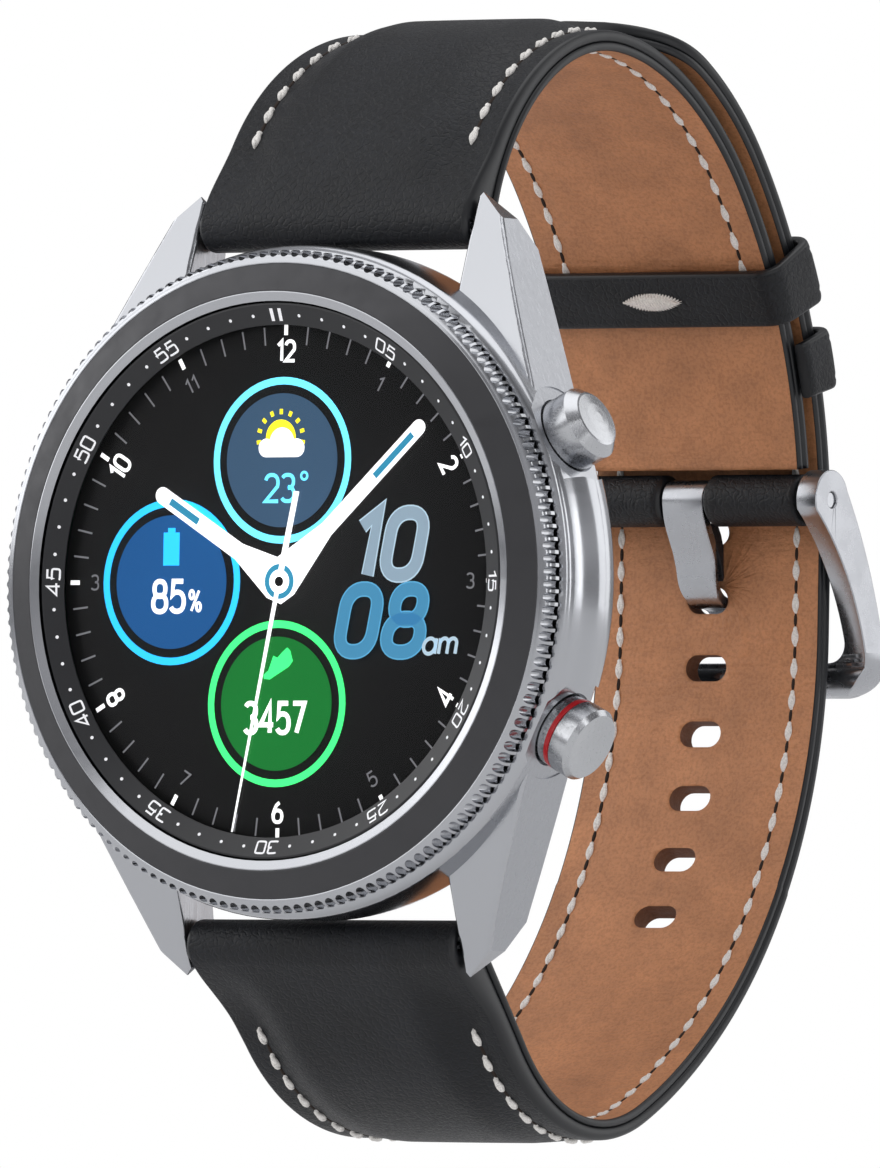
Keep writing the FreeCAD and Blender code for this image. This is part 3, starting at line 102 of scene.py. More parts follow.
class Finishes:
    """Every finish of the watch."""

    POLISHED = Finish("polished_steel", (0.46, 0.47, 0.495), 1.0, 0.17, Grain.SATIN)
    BRUSHED = Finish("brushed_steel", (0.42, 0.43, 0.455), 1.0, 0.3, Grain.BRUSHED_LONG)
    TURNED = Finish("turned_steel", (0.5, 0.51, 0.53), 1.0, 0.22, Grain.BRUSHED_ROUND)
    SATIN = Finish("satin_steel", (0.43, 0.44, 0.465), 1.0, 0.26, Grain.SATIN)
    INSERT = Finish("dark_insert", (0.06, 0.06, 0.064), 0.6, 0.42, Grain.SATIN)
    MINUTE_RING = Finish("minute_ring_black", (0.012, 0.0125, 0.015), 0.0, 0.42)
    GLASS = Finish("watch_glass", (1.0, 1.0, 1.0), 0.0, 0.02, clear=True)
    SCREEN = Finish("screen_black", (0.0015, 0.0015, 0.002), 0.0, 0.9)
    BACK = Finish("sensor_glass_black", (0.012, 0.012, 0.014), 0.0, 0.08, coat=0.6)
    RED = Finish("red_enamel", (0.55, 0.012, 0.018), 0.0, 0.25, coat=0.5)
    RUBBER = Finish("black_rubber", (0.012, 0.012, 0.012), 0.0, 0.6)
    BLACK_LEATHER = Finish("black_leather", (0.007, 0.008, 0.0105), 0.0, 0.47, Grain.LEATHER)
    EDGE = Finish("edge_paint", (0.006, 0.007, 0.009), 0.0, 0.42)
    BROWN_LEATHER = Finish("brown_leather", (0.58, 0.255, 0.112), 0.0, 0.56, Grain.LINING)
    CUT_LEATHER = Finish("cut_leather", (0.16, 0.055, 0.02), 0.0, 0.75, Grain.LINING)
    THREAD = Finish("waxed_thread", (0.95, 0.92, 0.88), 0.0, 0.6, Grain.THREAD)
    # Near-black brown for the needle holes: painted shade inside the holes.
    NEEDLE_HOLE = Finish("needle_hole", (0.018, 0.009, 0.005), 0.0, 0.9)
    BOARD = Finish("solder_mask", (0.01, 0.09, 0.035), 0.0, 0.35)
    COPPER = Finish("copper_wire", (0.75, 0.32, 0.16), 1.0, 0.3)
    CELL = Finish("cell_foil", (0.55, 0.56, 0.58), 1.0, 0.4)
    PLASTIC = Finish("moulded_black", (0.02, 0.02, 0.022), 0.0, 0.45)
    # White ink for the minute ring's print; its glow of 0.25 is painted brightness, since the printed marks
    # give off no light.
    WHITE_INK = Finish("white_ink", (0.85, 0.85, 0.87), 0.0, 0.5, glow=0.25)
    LIT_WHITE = Finish("lit_white", (0.9, 0.9, 0.9), 0.0, 0.5, glow=1.0)
    LIT_GREY = Finish("lit_grey", (0.13, 0.13, 0.14), 0.0, 0.5, glow=1.0)
    LIT_CYAN = Finish("lit_cyan", (0.16, 0.72, 0.95), 0.0, 0.5, glow=1.0)
    LIT_SLATE = Finish("lit_slate", (0.035, 0.07, 0.12), 0.0, 0.5, glow=1.0)
    LIT_RING_BLUE = Finish("lit_ring_blue", (0.03, 0.5, 0.95), 0.0, 0.5, glow=1.0)
    LIT_BLUE = Finish("lit_blue", (0.012, 0.07, 0.2), 0.0, 0.5, glow=1.0)
    LIT_RING_GREEN = Finish("lit_ring_green", (0.06, 0.9, 0.22), 0.0, 0.5, glow=1.0)
    LIT_GREEN = Finish("lit_green", (0.008, 0.13, 0.024), 0.0, 0.5, glow=1.0)
    LIT_YELLOW = Finish("lit_yellow", (0.95, 0.8, 0.03), 0.0, 0.5, glow=1.0)
    LIT_ICE = Finish("lit_ice", (0.2, 0.27, 0.33), 0.0, 0.5, glow=1.0)
    LIT_ICE_RIM = Finish("lit_ice_rim", (0.33, 0.43, 0.5), 0.0, 0.5, glow=1.0)
    LIT_STEEL_BLUE = Finish("lit_steel_blue", (0.05, 0.19, 0.32), 0.0, 0.5, glow=1.0)
    LIT_STEEL_RIM = Finish("lit_steel_rim", (0.08, 0.28, 0.44), 0.0, 0.5, glow=1.0)
    LIT_TEAL = Finish("lit_teal", (0.03, 0.2, 0.32), 0.0, 0.5, glow=1.0)


class MaterialShop:
    """Makes each finish's material once."""

    def __init__(self) -> None:
        """Starts with no material made."""
        self._made: dict[str, bpy.types.Material] = {}

    def get(self, finish: Finish) -> bpy.types.Material:
        """Returns the material of a finish.

        Args:
            finish: The finish wanted.

        Returns:
            Its material, which is made the first time.
        """
        if finish.name not in self._made:
            self._made[finish.name] = self._make(finish)
        return self._made[finish.name]

    def _make(self, finish: Finish) -> bpy.types.Material:
        """Makes one finish's material.

        Args:
            finish: The finish wanted.

        Returns:
            The new material, with its pattern.
        """
        material = bpy.data.materials.new(finish.name)
        material.use_nodes = True
        tree = material.node_tree
        shader = tree.nodes["Principled BSDF"]
        shader.inputs["Base Color"].default_value = (*finish.color, 1.0)
        shader.inputs["Metallic"].default_value = finish.metallic
        shader.inputs["Roughness"].default_value = finish.roughness
        shader.inputs["Coat Weight"].default_value = finish.coat
        shader.inputs["Coat Roughness"].default_value = 0.12
        if finish.clear:
            self._thin_glass(tree, shader)
        if finish.glow:
            shader.inputs["Emission Color"].default_value = (*finish.color, 1.0)
            shader.inputs["Emission Strength"].default_value = finish.glow
            shader.inputs["Specular IOR Level"].default_value = 0.0
        patterns: dict[Grain, Callable[..., None]] = {
            Grain.LEATHER: self._leather,
            Grain.LINING: self._lining,
            Grain.BRUSHED_LONG: self._brushed_long,
            Grain.BRUSHED_ROUND: self._brushed_round,
            Grain.SATIN: self._satin,
            Grain.THREAD: self._thread,
        }
        if finish.grain in patterns:
            patterns[finish.grain](tree, shader, finish)
        return material

    @staticmethod
    def _thin_glass(tree: Tree, shader: bpy.types.Node) -> None:
        """Clear glass that shows the dial as it is, with a faint reflection over it.

        Args:
            tree: Node tree of the material.
            shader: The shader that the glass takes the place of.
        """
        clear = tree.nodes.new("ShaderNodeBsdfTransparent")
        gloss = tree.nodes.new("ShaderNodeBsdfGlossy")
        gloss.inputs["Roughness"].default_value = 0.03
        fresnel = tree.nodes.new("ShaderNodeFresnel")
        fresnel.inputs["IOR"].default_value = 1.22
        mix = tree.nodes.new("ShaderNodeMixShader")
        tree.links.new(fresnel.outputs["Fac"], mix.inputs["Fac"])
        tree.links.new(clear.outputs["BSDF"], mix.inputs[1])
        tree.links.new(gloss.outputs["BSDF"], mix.inputs[2])
        tree.links.new(mix.outputs["Shader"], tree.nodes["Material Output"].inputs["Surface"])
        tree.nodes.remove(shader)

    @staticmethod
    def _coordinates(tree: Tree, scale: Sequence[float]) -> Socket:
        """Object coordinates in millimetres, stretched by scale.

        Args:
            tree: Node tree of the material.
            scale: Stretch along X, Y and Z.

        Returns:
            Socket of the stretched coordinates.
        """
        source = tree.nodes.new("ShaderNodeTexCoord")
        mapping = tree.nodes.new("ShaderNodeMapping")
        mapping.inputs["Scale"].default_value = [1000.0 * s for s in scale]
        tree.links.new(source.outputs["Object"], mapping.inputs["Vector"])
        return mapping.outputs["Vector"]

    @staticmethod
    def _noise(
        tree: Tree, vector: Socket, scale: float, detail: float
    ) -> Socket:
        """Adds a noise pattern.

        Args:
            tree: Node tree of the material.
            vector: Where the pattern is read.
            scale: Its frequency.
            detail: Octaves of finer noise.

        Returns:
            Socket of the noise value.
        """
        node = tree.nodes.new("ShaderNodeTexNoise")
        node.inputs["Scale"].default_value = scale
        node.inputs["Detail"].default_value = detail
        node.inputs["Roughness"].default_value = 0.6
        tree.links.new(vector, node.inputs["Vector"])
        return node.outputs["Fac"]

    @staticmethod
    def _ramp(
        tree: Tree,
        value: Socket,
        low: Sequence[float],
        high: Sequence[float],
        span: Point = (0.3, 0.7),
    ) -> Socket:
        """Adds a colour that runs from low to high.

        Args:
            tree: Node tree of the material.
            value: What drives the colour.
            low: Colour at the span's start.
            high: Colour at the span's end.
            span: Values between which the colour runs.

        Returns:
            Socket of the colour.
        """
        node = tree.nodes.new("ShaderNodeValToRGB")
        node.color_ramp.elements[0].position = span[0]
        node.color_ramp.elements[1].position = span[1]
        node.color_ramp.elements[0].color = (*low, 1.0)
        node.color_ramp.elements[1].color = (*high, 1.0)
        tree.links.new(value, node.inputs["Fac"])
        return node.outputs["Color"]

    @staticmethod
    def _bump(
        tree: Tree,
        shader: bpy.types.Node,
        height: Socket,
        distance: float,
        strength: float,
    ) -> None:
        """Adds a relief, on top of any that the shader has.

        Args:
            tree: Node tree of the material.
            shader: Its surface shader.
            height: Socket of the relief's height.
            distance: Depth of the relief in millimetres.
            strength: Share of it that shows.
        """
        node = tree.nodes.new("ShaderNodeBump")
        node.inputs["Strength"].default_value = strength
        node.inputs["Distance"].default_value = distance * MM
        tree.links.new(height, node.inputs["Height"])
        if shader.inputs["Normal"].links:
            tree.links.new(shader.inputs["Normal"].links[0].from_socket, node.inputs["Normal"])
        tree.links.new(node.outputs["Normal"], shader.inputs["Normal"])

    def _roughen(
        self,
        tree: Tree,
        shader: bpy.types.Node,
        value: Socket,
        low: float,
        high: float,
    ) -> None:
        """Varies the roughness with a value.

        Args:
            tree: Node tree of the material.
            shader: Its surface shader.
            value: What drives the roughness.
            low: Roughness at low values.
            high: Roughness at high values.
        """
        color = self._ramp(tree, value, (low,) * 3, (high,) * 3)
        tree.links.new(color, shader.inputs["Roughness"])

    def _leather(
        self, tree: Tree, shader: bpy.types.Node, finish: Finish
    ) -> None:
        """Black grained leather: small pebbles between fine creases, with slightly worn crests.

        Args:
            tree: Node tree of the material.
            shader: Its surface shader.
            finish: The finish that the pattern belongs to.
        """
        vector = self._coordinates(tree, (1.0, 1.0, 1.0))
        warp = tree.nodes.new("ShaderNodeTexNoise")
        warp.inputs["Scale"].default_value = 1.7
        warp.inputs["Detail"].default_value = 3.0
        tree.links.new(vector, warp.inputs["Vector"])
        bend = tree.nodes.new("ShaderNodeVectorMath")
        bend.operation = "MULTIPLY_ADD"
        bend.inputs[1].default_value = (0.55, 0.55, 0.55)
        tree.links.new(warp.outputs["Color"], bend.inputs[0])
        tree.links.new(vector, bend.inputs[2])
        pebbles = tree.nodes.new("ShaderNodeTexVoronoi")
        pebbles.feature = "DISTANCE_TO_EDGE"
        pebbles.inputs["Scale"].default_value = 1.9
        tree.links.new(bend.outputs["Vector"], pebbles.inputs["Vector"])
        crests = self._ramp(tree, pebbles.outputs["Distance"], (0.0,) * 3, (1.0,) * 3, (0.0, 0.16))
        broad = self._noise(tree, vector, 0.16, 3.0)
        fine = self._noise(tree, vector, 5.0, 6.0)
        worn = self._ramp(
            tree, broad, [0.8 * c for c in finish.color], [1.6 * c for c in finish.color], (0.35, 0.7)
        )
        pits = self._ramp(tree, fine, (0.35,) * 3, (1.25,) * 3, (0.36, 0.62))
        mix = tree.nodes.new("ShaderNodeMix")
        mix.data_type = "RGBA"
        mix.blend_type = "MULTIPLY"
        mix.inputs["Factor"].default_value = 1.0
        tree.links.new(worn, mix.inputs["A"])
        tree.links.new(pits, mix.inputs["B"])
        tree.links.new(mix.outputs["Result"], shader.inputs["Base Color"])
        self._roughen(tree, shader, fine, 0.38, 0.62)
        shader.inputs["Specular IOR Level"].default_value = 0.34
        self._bump(tree, shader, crests, 0.05, 0.55)
        self._bump(tree, shader, fine, 0.06, 0.8)

    def _lining(
        self, tree: Tree, shader: bpy.types.Node, finish: Finish
    ) -> None:
        """Smooth brown leather: cloudy dye, fine pores and short wrinkles across the strap.

        Args:
            tree: Node tree of the material.
            shader: Its surface shader.
            finish: The finish that the pattern belongs to.
        """
        vector = self._coordinates(tree, (1.0, 1.0, 1.0))
        clouds = self._noise(tree, vector, 0.22, 5.0)
        pores = self._noise(tree, vector, 4.2, 5.0)
        wrinkles = self._noise(tree, self._coordinates(tree, (0.35, 1.6, 1.6)), 0.9, 4.0)
        dark = [0.78 * c for c in finish.color]
        light = [min(1.0, 1.1 * c) for c in finish.color]
        dye = self._ramp(tree, clouds, dark, light, (0.3, 0.66))
        speckle = self._ramp(tree, pores, (0.78, 0.74, 0.7), (1.0, 1.0, 1.0), (0.38, 0.56))
        mix = tree.nodes.new("ShaderNodeMix")
        mix.data_type = "RGBA"
        mix.blend_type = "MULTIPLY"
        mix.inputs["Factor"].default_value = 0.8
        tree.links.new(dye, mix.inputs["A"])
        tree.links.new(speckle, mix.inputs["B"])
        tree.links.new(mix.outputs["Result"], shader.inputs["Base Color"])
        self._bump(tree, shader, wrinkles, 0.22, 0.7)
        self._bump(tree, shader, pores, 0.07, 0.9)
        self._bump(tree, shader, self._rays(tree), 0.28, 1.0)

    def _rays(self, tree: Tree) -> Socket:
        """Wrinkles that run out from the hole in use, strongest beside the tongue.

        Args:
            tree: Node tree of the material.

        Returns:
            Socket of the wrinkles' height.
        """
        centre = (1.2, 41.0, 1.6)
        source = tree.nodes.new("ShaderNodeTexCoord")
        local = tree.nodes.new("ShaderNodeVectorMath")
        local.operation = "MULTIPLY_ADD"
        local.inputs[1].default_value = (1000.0, 0.0, 1000.0)
        local.inputs[2].default_value = (-centre[0], 0.0, -centre[2])
        tree.links.new(source.outputs["Object"], local.inputs[0])
        parts = tree.nodes.new("ShaderNodeSeparateXYZ")
        tree.links.new(local.outputs["Vector"], parts.inputs["Vector"])
        turn = self._math(tree, "ARCTAN2", parts.outputs["Z"], parts.outputs["X"])
        size = tree.nodes.new("ShaderNodeVectorMath")
        size.operation = "LENGTH"
        tree.links.new(local.outputs["Vector"], size.inputs[0])
        polar_place = tree.nodes.new("ShaderNodeCombineXYZ")
        tree.links.new(self._math(tree, "MULTIPLY", turn, 2.6), polar_place.inputs["X"])
        tree.links.new(self._math(tree, "MULTIPLY", size.outputs["Value"], 0.22), polar_place.inputs["Y"])
        folds = self._noise(tree, polar_place.outputs["Vector"], 1.6, 2.0)
        near = tree.nodes.new("ShaderNodeMapRange")
        near.inputs["From Min"].default_value = 7.5
        near.inputs["From Max"].default_value = 2.2
        tree.links.new(size.outputs["Value"], near.inputs["Value"])
        side = tree.nodes.new("ShaderNodeMapRange")
        side.inputs["From Min"].default_value = -2.5
        side.inputs["From Max"].default_value = 1.0
        tree.links.new(parts.outputs["X"], side.inputs["Value"])
        faded = self._math(tree, "MULTIPLY", folds, near.outputs["Result"])
        return self._math(tree, "MULTIPLY", faded, side.outputs["Result"])

    @staticmethod
    def _math(
        tree: Tree,
        operation: str,
        first: Socket,
        second: Socket | float,
    ) -> Socket:
        """Works out one sum of two values.

        Args:
            tree: Node tree of the material.
            operation: The sum's name.
            first: First value.
            second: Second value.

        Returns:
            Socket of the result.
        """
        node = tree.nodes.new("ShaderNodeMath")
        node.operation = operation
        tree.links.new(first, node.inputs[0])
        if isinstance(second, float):
            node.inputs[1].default_value = second
        else:
            tree.links.new(second, node.inputs[1])
        return node.outputs["Value"]

    def _brushed_long(
        self, tree: Tree, shader: bpy.types.Node, finish: Finish
    ) -> None:
        """Fine lines along the lugs.

        Args:
            tree: Node tree of the material.
            shader: Its surface shader.
            finish: The finish that the pattern belongs to.
        """
        vector = self._coordinates(tree, (1.0, 5.0, 0.04))
        lines = self._noise(tree, vector, 3.0, 4.0)
        self._roughen(tree, shader, lines, finish.roughness - 0.07, finish.roughness + 0.1)
        self._bump(tree, shader, lines, 0.012, 0.35)

    def _brushed_round(
        self, tree: Tree, shader: bpy.types.Node, finish: Finish
    ) -> None:
        """Very fine turning marks.

        Args:
            tree: Node tree of the material.
            shader: Its surface shader.
            finish: The finish that the pattern belongs to.
        """
        lines = self._noise(tree, self._coordinates(tree, (2.0, 6.0, 2.0)), 2.0, 3.0)
        self._roughen(tree, shader, lines, finish.roughness - 0.06, finish.roughness + 0.08)

    def _satin(
        self, tree: Tree, shader: bpy.types.Node, finish: Finish
    ) -> None:
        """Faint smears in the polish.

        Args:
            tree: Node tree of the material.
            shader: Its surface shader.
            finish: The finish that the pattern belongs to.
        """
        smears = self._noise(tree, self._coordinates(tree, (1.0, 1.0, 1.0)), 0.6, 5.0)
        self._roughen(tree, shader, smears, finish.roughness * 0.8, finish.roughness * 1.25)

    def _thread(
        self, tree: Tree, shader: bpy.types.Node, finish: Finish
    ) -> None:
        """Fibres of a waxed thread.

        Args:
            tree: Node tree of the material.
            shader: Its surface shader.
            finish: The finish that the pattern belongs to.
        """
        fibres = self._noise(tree, self._coordinates(tree, (3.0, 3.0, 3.0)), 3.0, 4.0)
        color = self._ramp(tree, fibres, [0.72 * c for c in finish.color], finish.color, (0.35, 0.6))
        tree.links.new(color, shader.inputs["Base Color"])
        self._bump(tree, shader, fibres, 0.05, 0.6)


SHOP = MaterialShop()


# ---------------------------------------------------------------- meshes


@dataclass
class Piece:
    """A mesh that is gathered in millimetres and then placed in the scene.

    Attributes:
        name: Object name.
        body: CAD body that it rides on.
        slot: Name of a material slot; not used.
        finishes: Finishes in the order of the faces' indices.
    """

    name: str
    body: str
    slot: str
    finishes: list[Finish]
    mesh: bmesh.types.BMesh = field(default_factory=bmesh.new)

    def grid(
        self, rows: Sequence[Sequence[Sequence[float]]], index: int | Callable[[int, int], int] = 0,
        around: bool = False, along: bool = False, caps: bool = False
    ) -> None:
        """Adds a grid of faces.

        Args:
            rows: Rows of points, all of one length.
            index: Finish index, or a function of row and column that gives it.
            around: True if each row closes on itself.
            along: True if the last row joins the first.
            caps: True to close the first and last rows with a face.
        """
        made = [[self.mesh.verts.new(Vector(p) * MM) for p in row] for row in rows]
        count = len(made)
        wide = len(made[0])
        for i in range(count if along else count - 1):
            for j in range(wide if around else wide - 1):
                k, m = (i + 1) % count, (j + 1) % wide
                face = self.mesh.faces.new((made[i][j], made[i][m], made[k][m], made[k][j]))
                face.material_index = index(i, j) if callable(index) else index
                face.smooth = True
        if caps:
            for row, turn in ((made[0], -1), (made[-1], 1)):
                face = self.mesh.faces.new(row[::turn])
                face.material_index = index(0, 0) if callable(index) else index

    def flat(self, outline: Sequence[Point], height: float, index: int = 0) -> None:
        """Adds a flat dial face, seen from -Y.

        Args:
            outline: Corners as X and Z.
            height: Height above the wrist face.
            index: Finish index.
        """
        verts = [self.mesh.verts.new(Vector((x, -height, z)) * MM) for x, z in outline]
        face = self.mesh.faces.new(verts)
        face.material_index = index
        face.normal_update()
        if face.normal.y > 0:
            face.normal_flip()

    def finish(self, outward: bool = True, replaces: Sequence[str] = ()) -> bpy.types.Object:
        """Makes the object.

        Args:
            outward: True to turn all faces outwards.
            replaces: CAD nodes that it stands for.

        Returns:
            The object, riding on its body.
        """
        if outward:
            bmesh.ops.recalc_face_normals(self.mesh, faces=self.mesh.faces)
        data = bpy.data.meshes.new(self.name)
        self.mesh.to_mesh(data)
        self.mesh.free()
        for finish in self.finishes:
            data.materials.append(SHOP.get(finish))
        obj = bpy.data.objects.new(self.name, data)
        bpy.context.collection.objects.link(obj)
        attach(obj, self.body)
        if replaces:
            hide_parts(*replaces)
        log.info("%s: %d faces on %s", self.name, len(data.polygons), self.body)
        return obj


def lathe(piece: Piece, profile: Sequence[Point], steps: int, index: int = 0) -> None:
    """Turns a closed profile of radius and height about the dial's axis.

    Args:
        piece: Piece to add to.
        profile: Corners of the section.
        steps: Facets round the axis.
        index: Finish index.
    """
    rows = []
    for n in range(steps):
        angle = 2 * math.pi * n / steps
        rows.append([(r * math.cos(angle), -h, r * math.sin(angle)) for r, h in profile])
    piece.grid(rows, index, around=True, along=True)


# ---------------------------------------------------------------- lettering


def bow(
    cx: float, cz: float, rx: float, rz: float, start: float, end: float, power: float = 2.0
) -> list[Point]:
    """Rounds a bow of a letter.

    Args:
        cx: X of its middle.
        cz: Z of its middle.
        rx: Radius along X.
        rz: Radius along Z.
        start: Angle of the first point, in degrees.
        end: Angle of the last point, in degrees.
        power: Above 2 squares the bow off.

    Returns:
        Points along the bow.
    """
    steps = max(4, int(abs(end - start) / 12))
    points = []
    for n in range(steps + 1):
        angle = math.radians(start + (end - start) * n / steps)
        c, s = math.cos(angle), math.sin(angle)
        x = math.copysign(abs(c) ** (2 / power), c)
        z = math.copysign(abs(s) ** (2 / power), s)
        points.append((cx + rx * x, cz + rz * z))
    return points


class Lettering:
    """Strokes of a plain single-line alphabet, one unit high."""

    def __init__(self, power: float = 2.3) -> None:
        """Draws every letter.

        Args:
            power: Squareness of the figures' bows.
        """
        p = power
        self.strokes: dict[str, list[tuple[list[Point], bool]]] = {
            "0": [(bow(0.3, 0.68, 0.3, 0.32, 0, 180, p) + bow(0.3, 0.32, 0.3, 0.32, 180, 360, p), True)],
            "1": [([(0.1, 0.78), (0.36, 1.0), (0.36, 0.0)], False)],
            "2": [(bow(0.3, 0.7, 0.3, 0.3, 165, -25, p) + [(0.0, 0.0), (0.62, 0.0)], False)],
            "3": [
                (bow(0.28, 0.75, 0.28, 0.25, 150, -88, p), False),
                (bow(0.28, 0.27, 0.31, 0.27, 88, -150, p), False),
            ],
            "4": [([(0.5, 0.0), (0.5, 1.0), (0.0, 0.27), (0.68, 0.27)], False)],
            "5": [
                ([(0.56, 1.0), (0.1, 1.0), (0.05, 0.55)] + bow(0.28, 0.32, 0.32, 0.32, 120, -150, p), False)
            ],
            "6": [
                (bow(0.3, 0.3, 0.3, 0.3, 0, 360, p), True),
                ([(0.0, 0.34), (0.07, 0.62), (0.22, 0.86), (0.42, 1.0)], False),
            ],
            "7": [([(0.0, 1.0), (0.6, 1.0), (0.2, 0.0)], False)],
            "8": [
                (bow(0.3, 0.75, 0.26, 0.25, 0, 360, p), True),
                (bow(0.3, 0.26, 0.31, 0.27, 0, 360, p), True),
            ],
            "a": [
                (bow(0.25, 0.26, 0.24, 0.26, 0, 360), True),
                ([(0.5, 0.0), (0.5, 0.52)], False),
            ],
            "m": [
                ([(0.0, 0.0), (0.0, 0.52)], False),
                (bow(0.17, 0.34, 0.17, 0.18, 180, 0) + [(0.34, 0.0)], False),
                (bow(0.51, 0.34, 0.17, 0.18, 180, 0) + [(0.68, 0.0)], False),
            ],
            "%": [
                (bow(0.14, 0.8, 0.14, 0.2, 0, 360), True),
                (bow(0.6, 0.2, 0.14, 0.2, 0, 360), True),
                ([(0.62, 1.0), (0.12, 0.0)], False),
            ],
            "o": [(bow(0.13, 0.87, 0.13, 0.13, 0, 360), True)],
        }

    def width(self, letter: str) -> float:
        """Advance of a letter, without the space after it.

        Args:
            letter: The letter to measure.

        Returns:
            Its width, in heights.
        """
        return max(x for stroke, _ in self.strokes[letter] for x, _ in stroke)

    def outlines(
        self, text: str, high: float, stroke: float, squeeze: float = 1.0, slant: float = 0.0,
        gap: float = 0.24
    ) -> list[list[list[Point]]]:
        """Quads that make up a text, centred on the origin.

        Args:
            text: Letters to set.
            high: Height of a capital.
            stroke: Width of the line.
            squeeze: Width factor.
            slant: Sideways lean per unit of height.
            gap: Space between letters, in heights.

        Returns:
            For each stroke, its quads in order.
        """
        total = sum(self.width(c) for c in text) * squeeze + gap * (len(text) - 1)
        pen = -total / 2
        found = []
        for letter in text:
            for points, closed in self.strokes[letter]:
                line = [
                    ((pen + x * squeeze + slant * (z - 0.5)) * high, (z - 0.5) * high)
                    for x, z in points
                ]
                found.append(stroke_quads(line, stroke, closed))
            pen += self.width(letter) * squeeze + gap
        return found


def stroke_quads(line: Sequence[Point], width: float, closed: bool) -> list[list[Point]]:
    """Turns a line into quads with mitred corners.

    Args:
        line: Points of the line.
        width: Width of the stroke.
        closed: True if the last point joins the first.

    Returns:
        The quads in order.
    """
    points = [line[0]]
    for p in line[1:]:
        if math.dist(p, points[-1]) > 1e-6:
            points.append(p)
    if closed and math.dist(points[0], points[-1]) < 1e-6:
        points.pop()
    count = len(points)
    sides = []
    for n, (x, z) in enumerate(points):
        before = points[n - 1] if closed or n else points[n]
        after = points[(n + 1) % count] if closed or n < count - 1 else points[n]
        ways = []
        for a, b in ((before, (x, z)), ((x, z), after)):
            length = math.dist(a, b)
            if length > 1e-9:
                ways.append(((b[0] - a[0]) / length, (b[1] - a[1]) / length))
        dx = sum(w[0] for w in ways) / len(ways)
        dz = sum(w[1] for w in ways) / len(ways)
        size = math.hypot(dx, dz)
        reach = width / 2 / max(size, 0.45) / max(size, 1e-6)
        sides.append(((x - dz * reach, z + dx * reach), (x + dz * reach, z - dx * reach)))
    quads = []
    for n in range(count if closed else count - 1):
        a, b = sides[n], sides[(n + 1) % count]
        quads.append([a[0], b[0], b[1], a[1]])
    return quads


def disc(cx: float, cz: float, radius: float, steps: int = 64) -> list[Point]:
    """Sets out a circle's corners.

    Args:
        cx: X of its middle.
        cz: Z of its middle.
        radius: Its radius.
        steps: How many corners.

    Returns:
        The corners in order.
    """
    return [
        (cx + radius * math.cos(2 * math.pi * n / steps), cz + radius * math.sin(2 * math.pi * n / steps))
        for n in range(steps)
    ]


# ---------------------------------------------------------------- dial


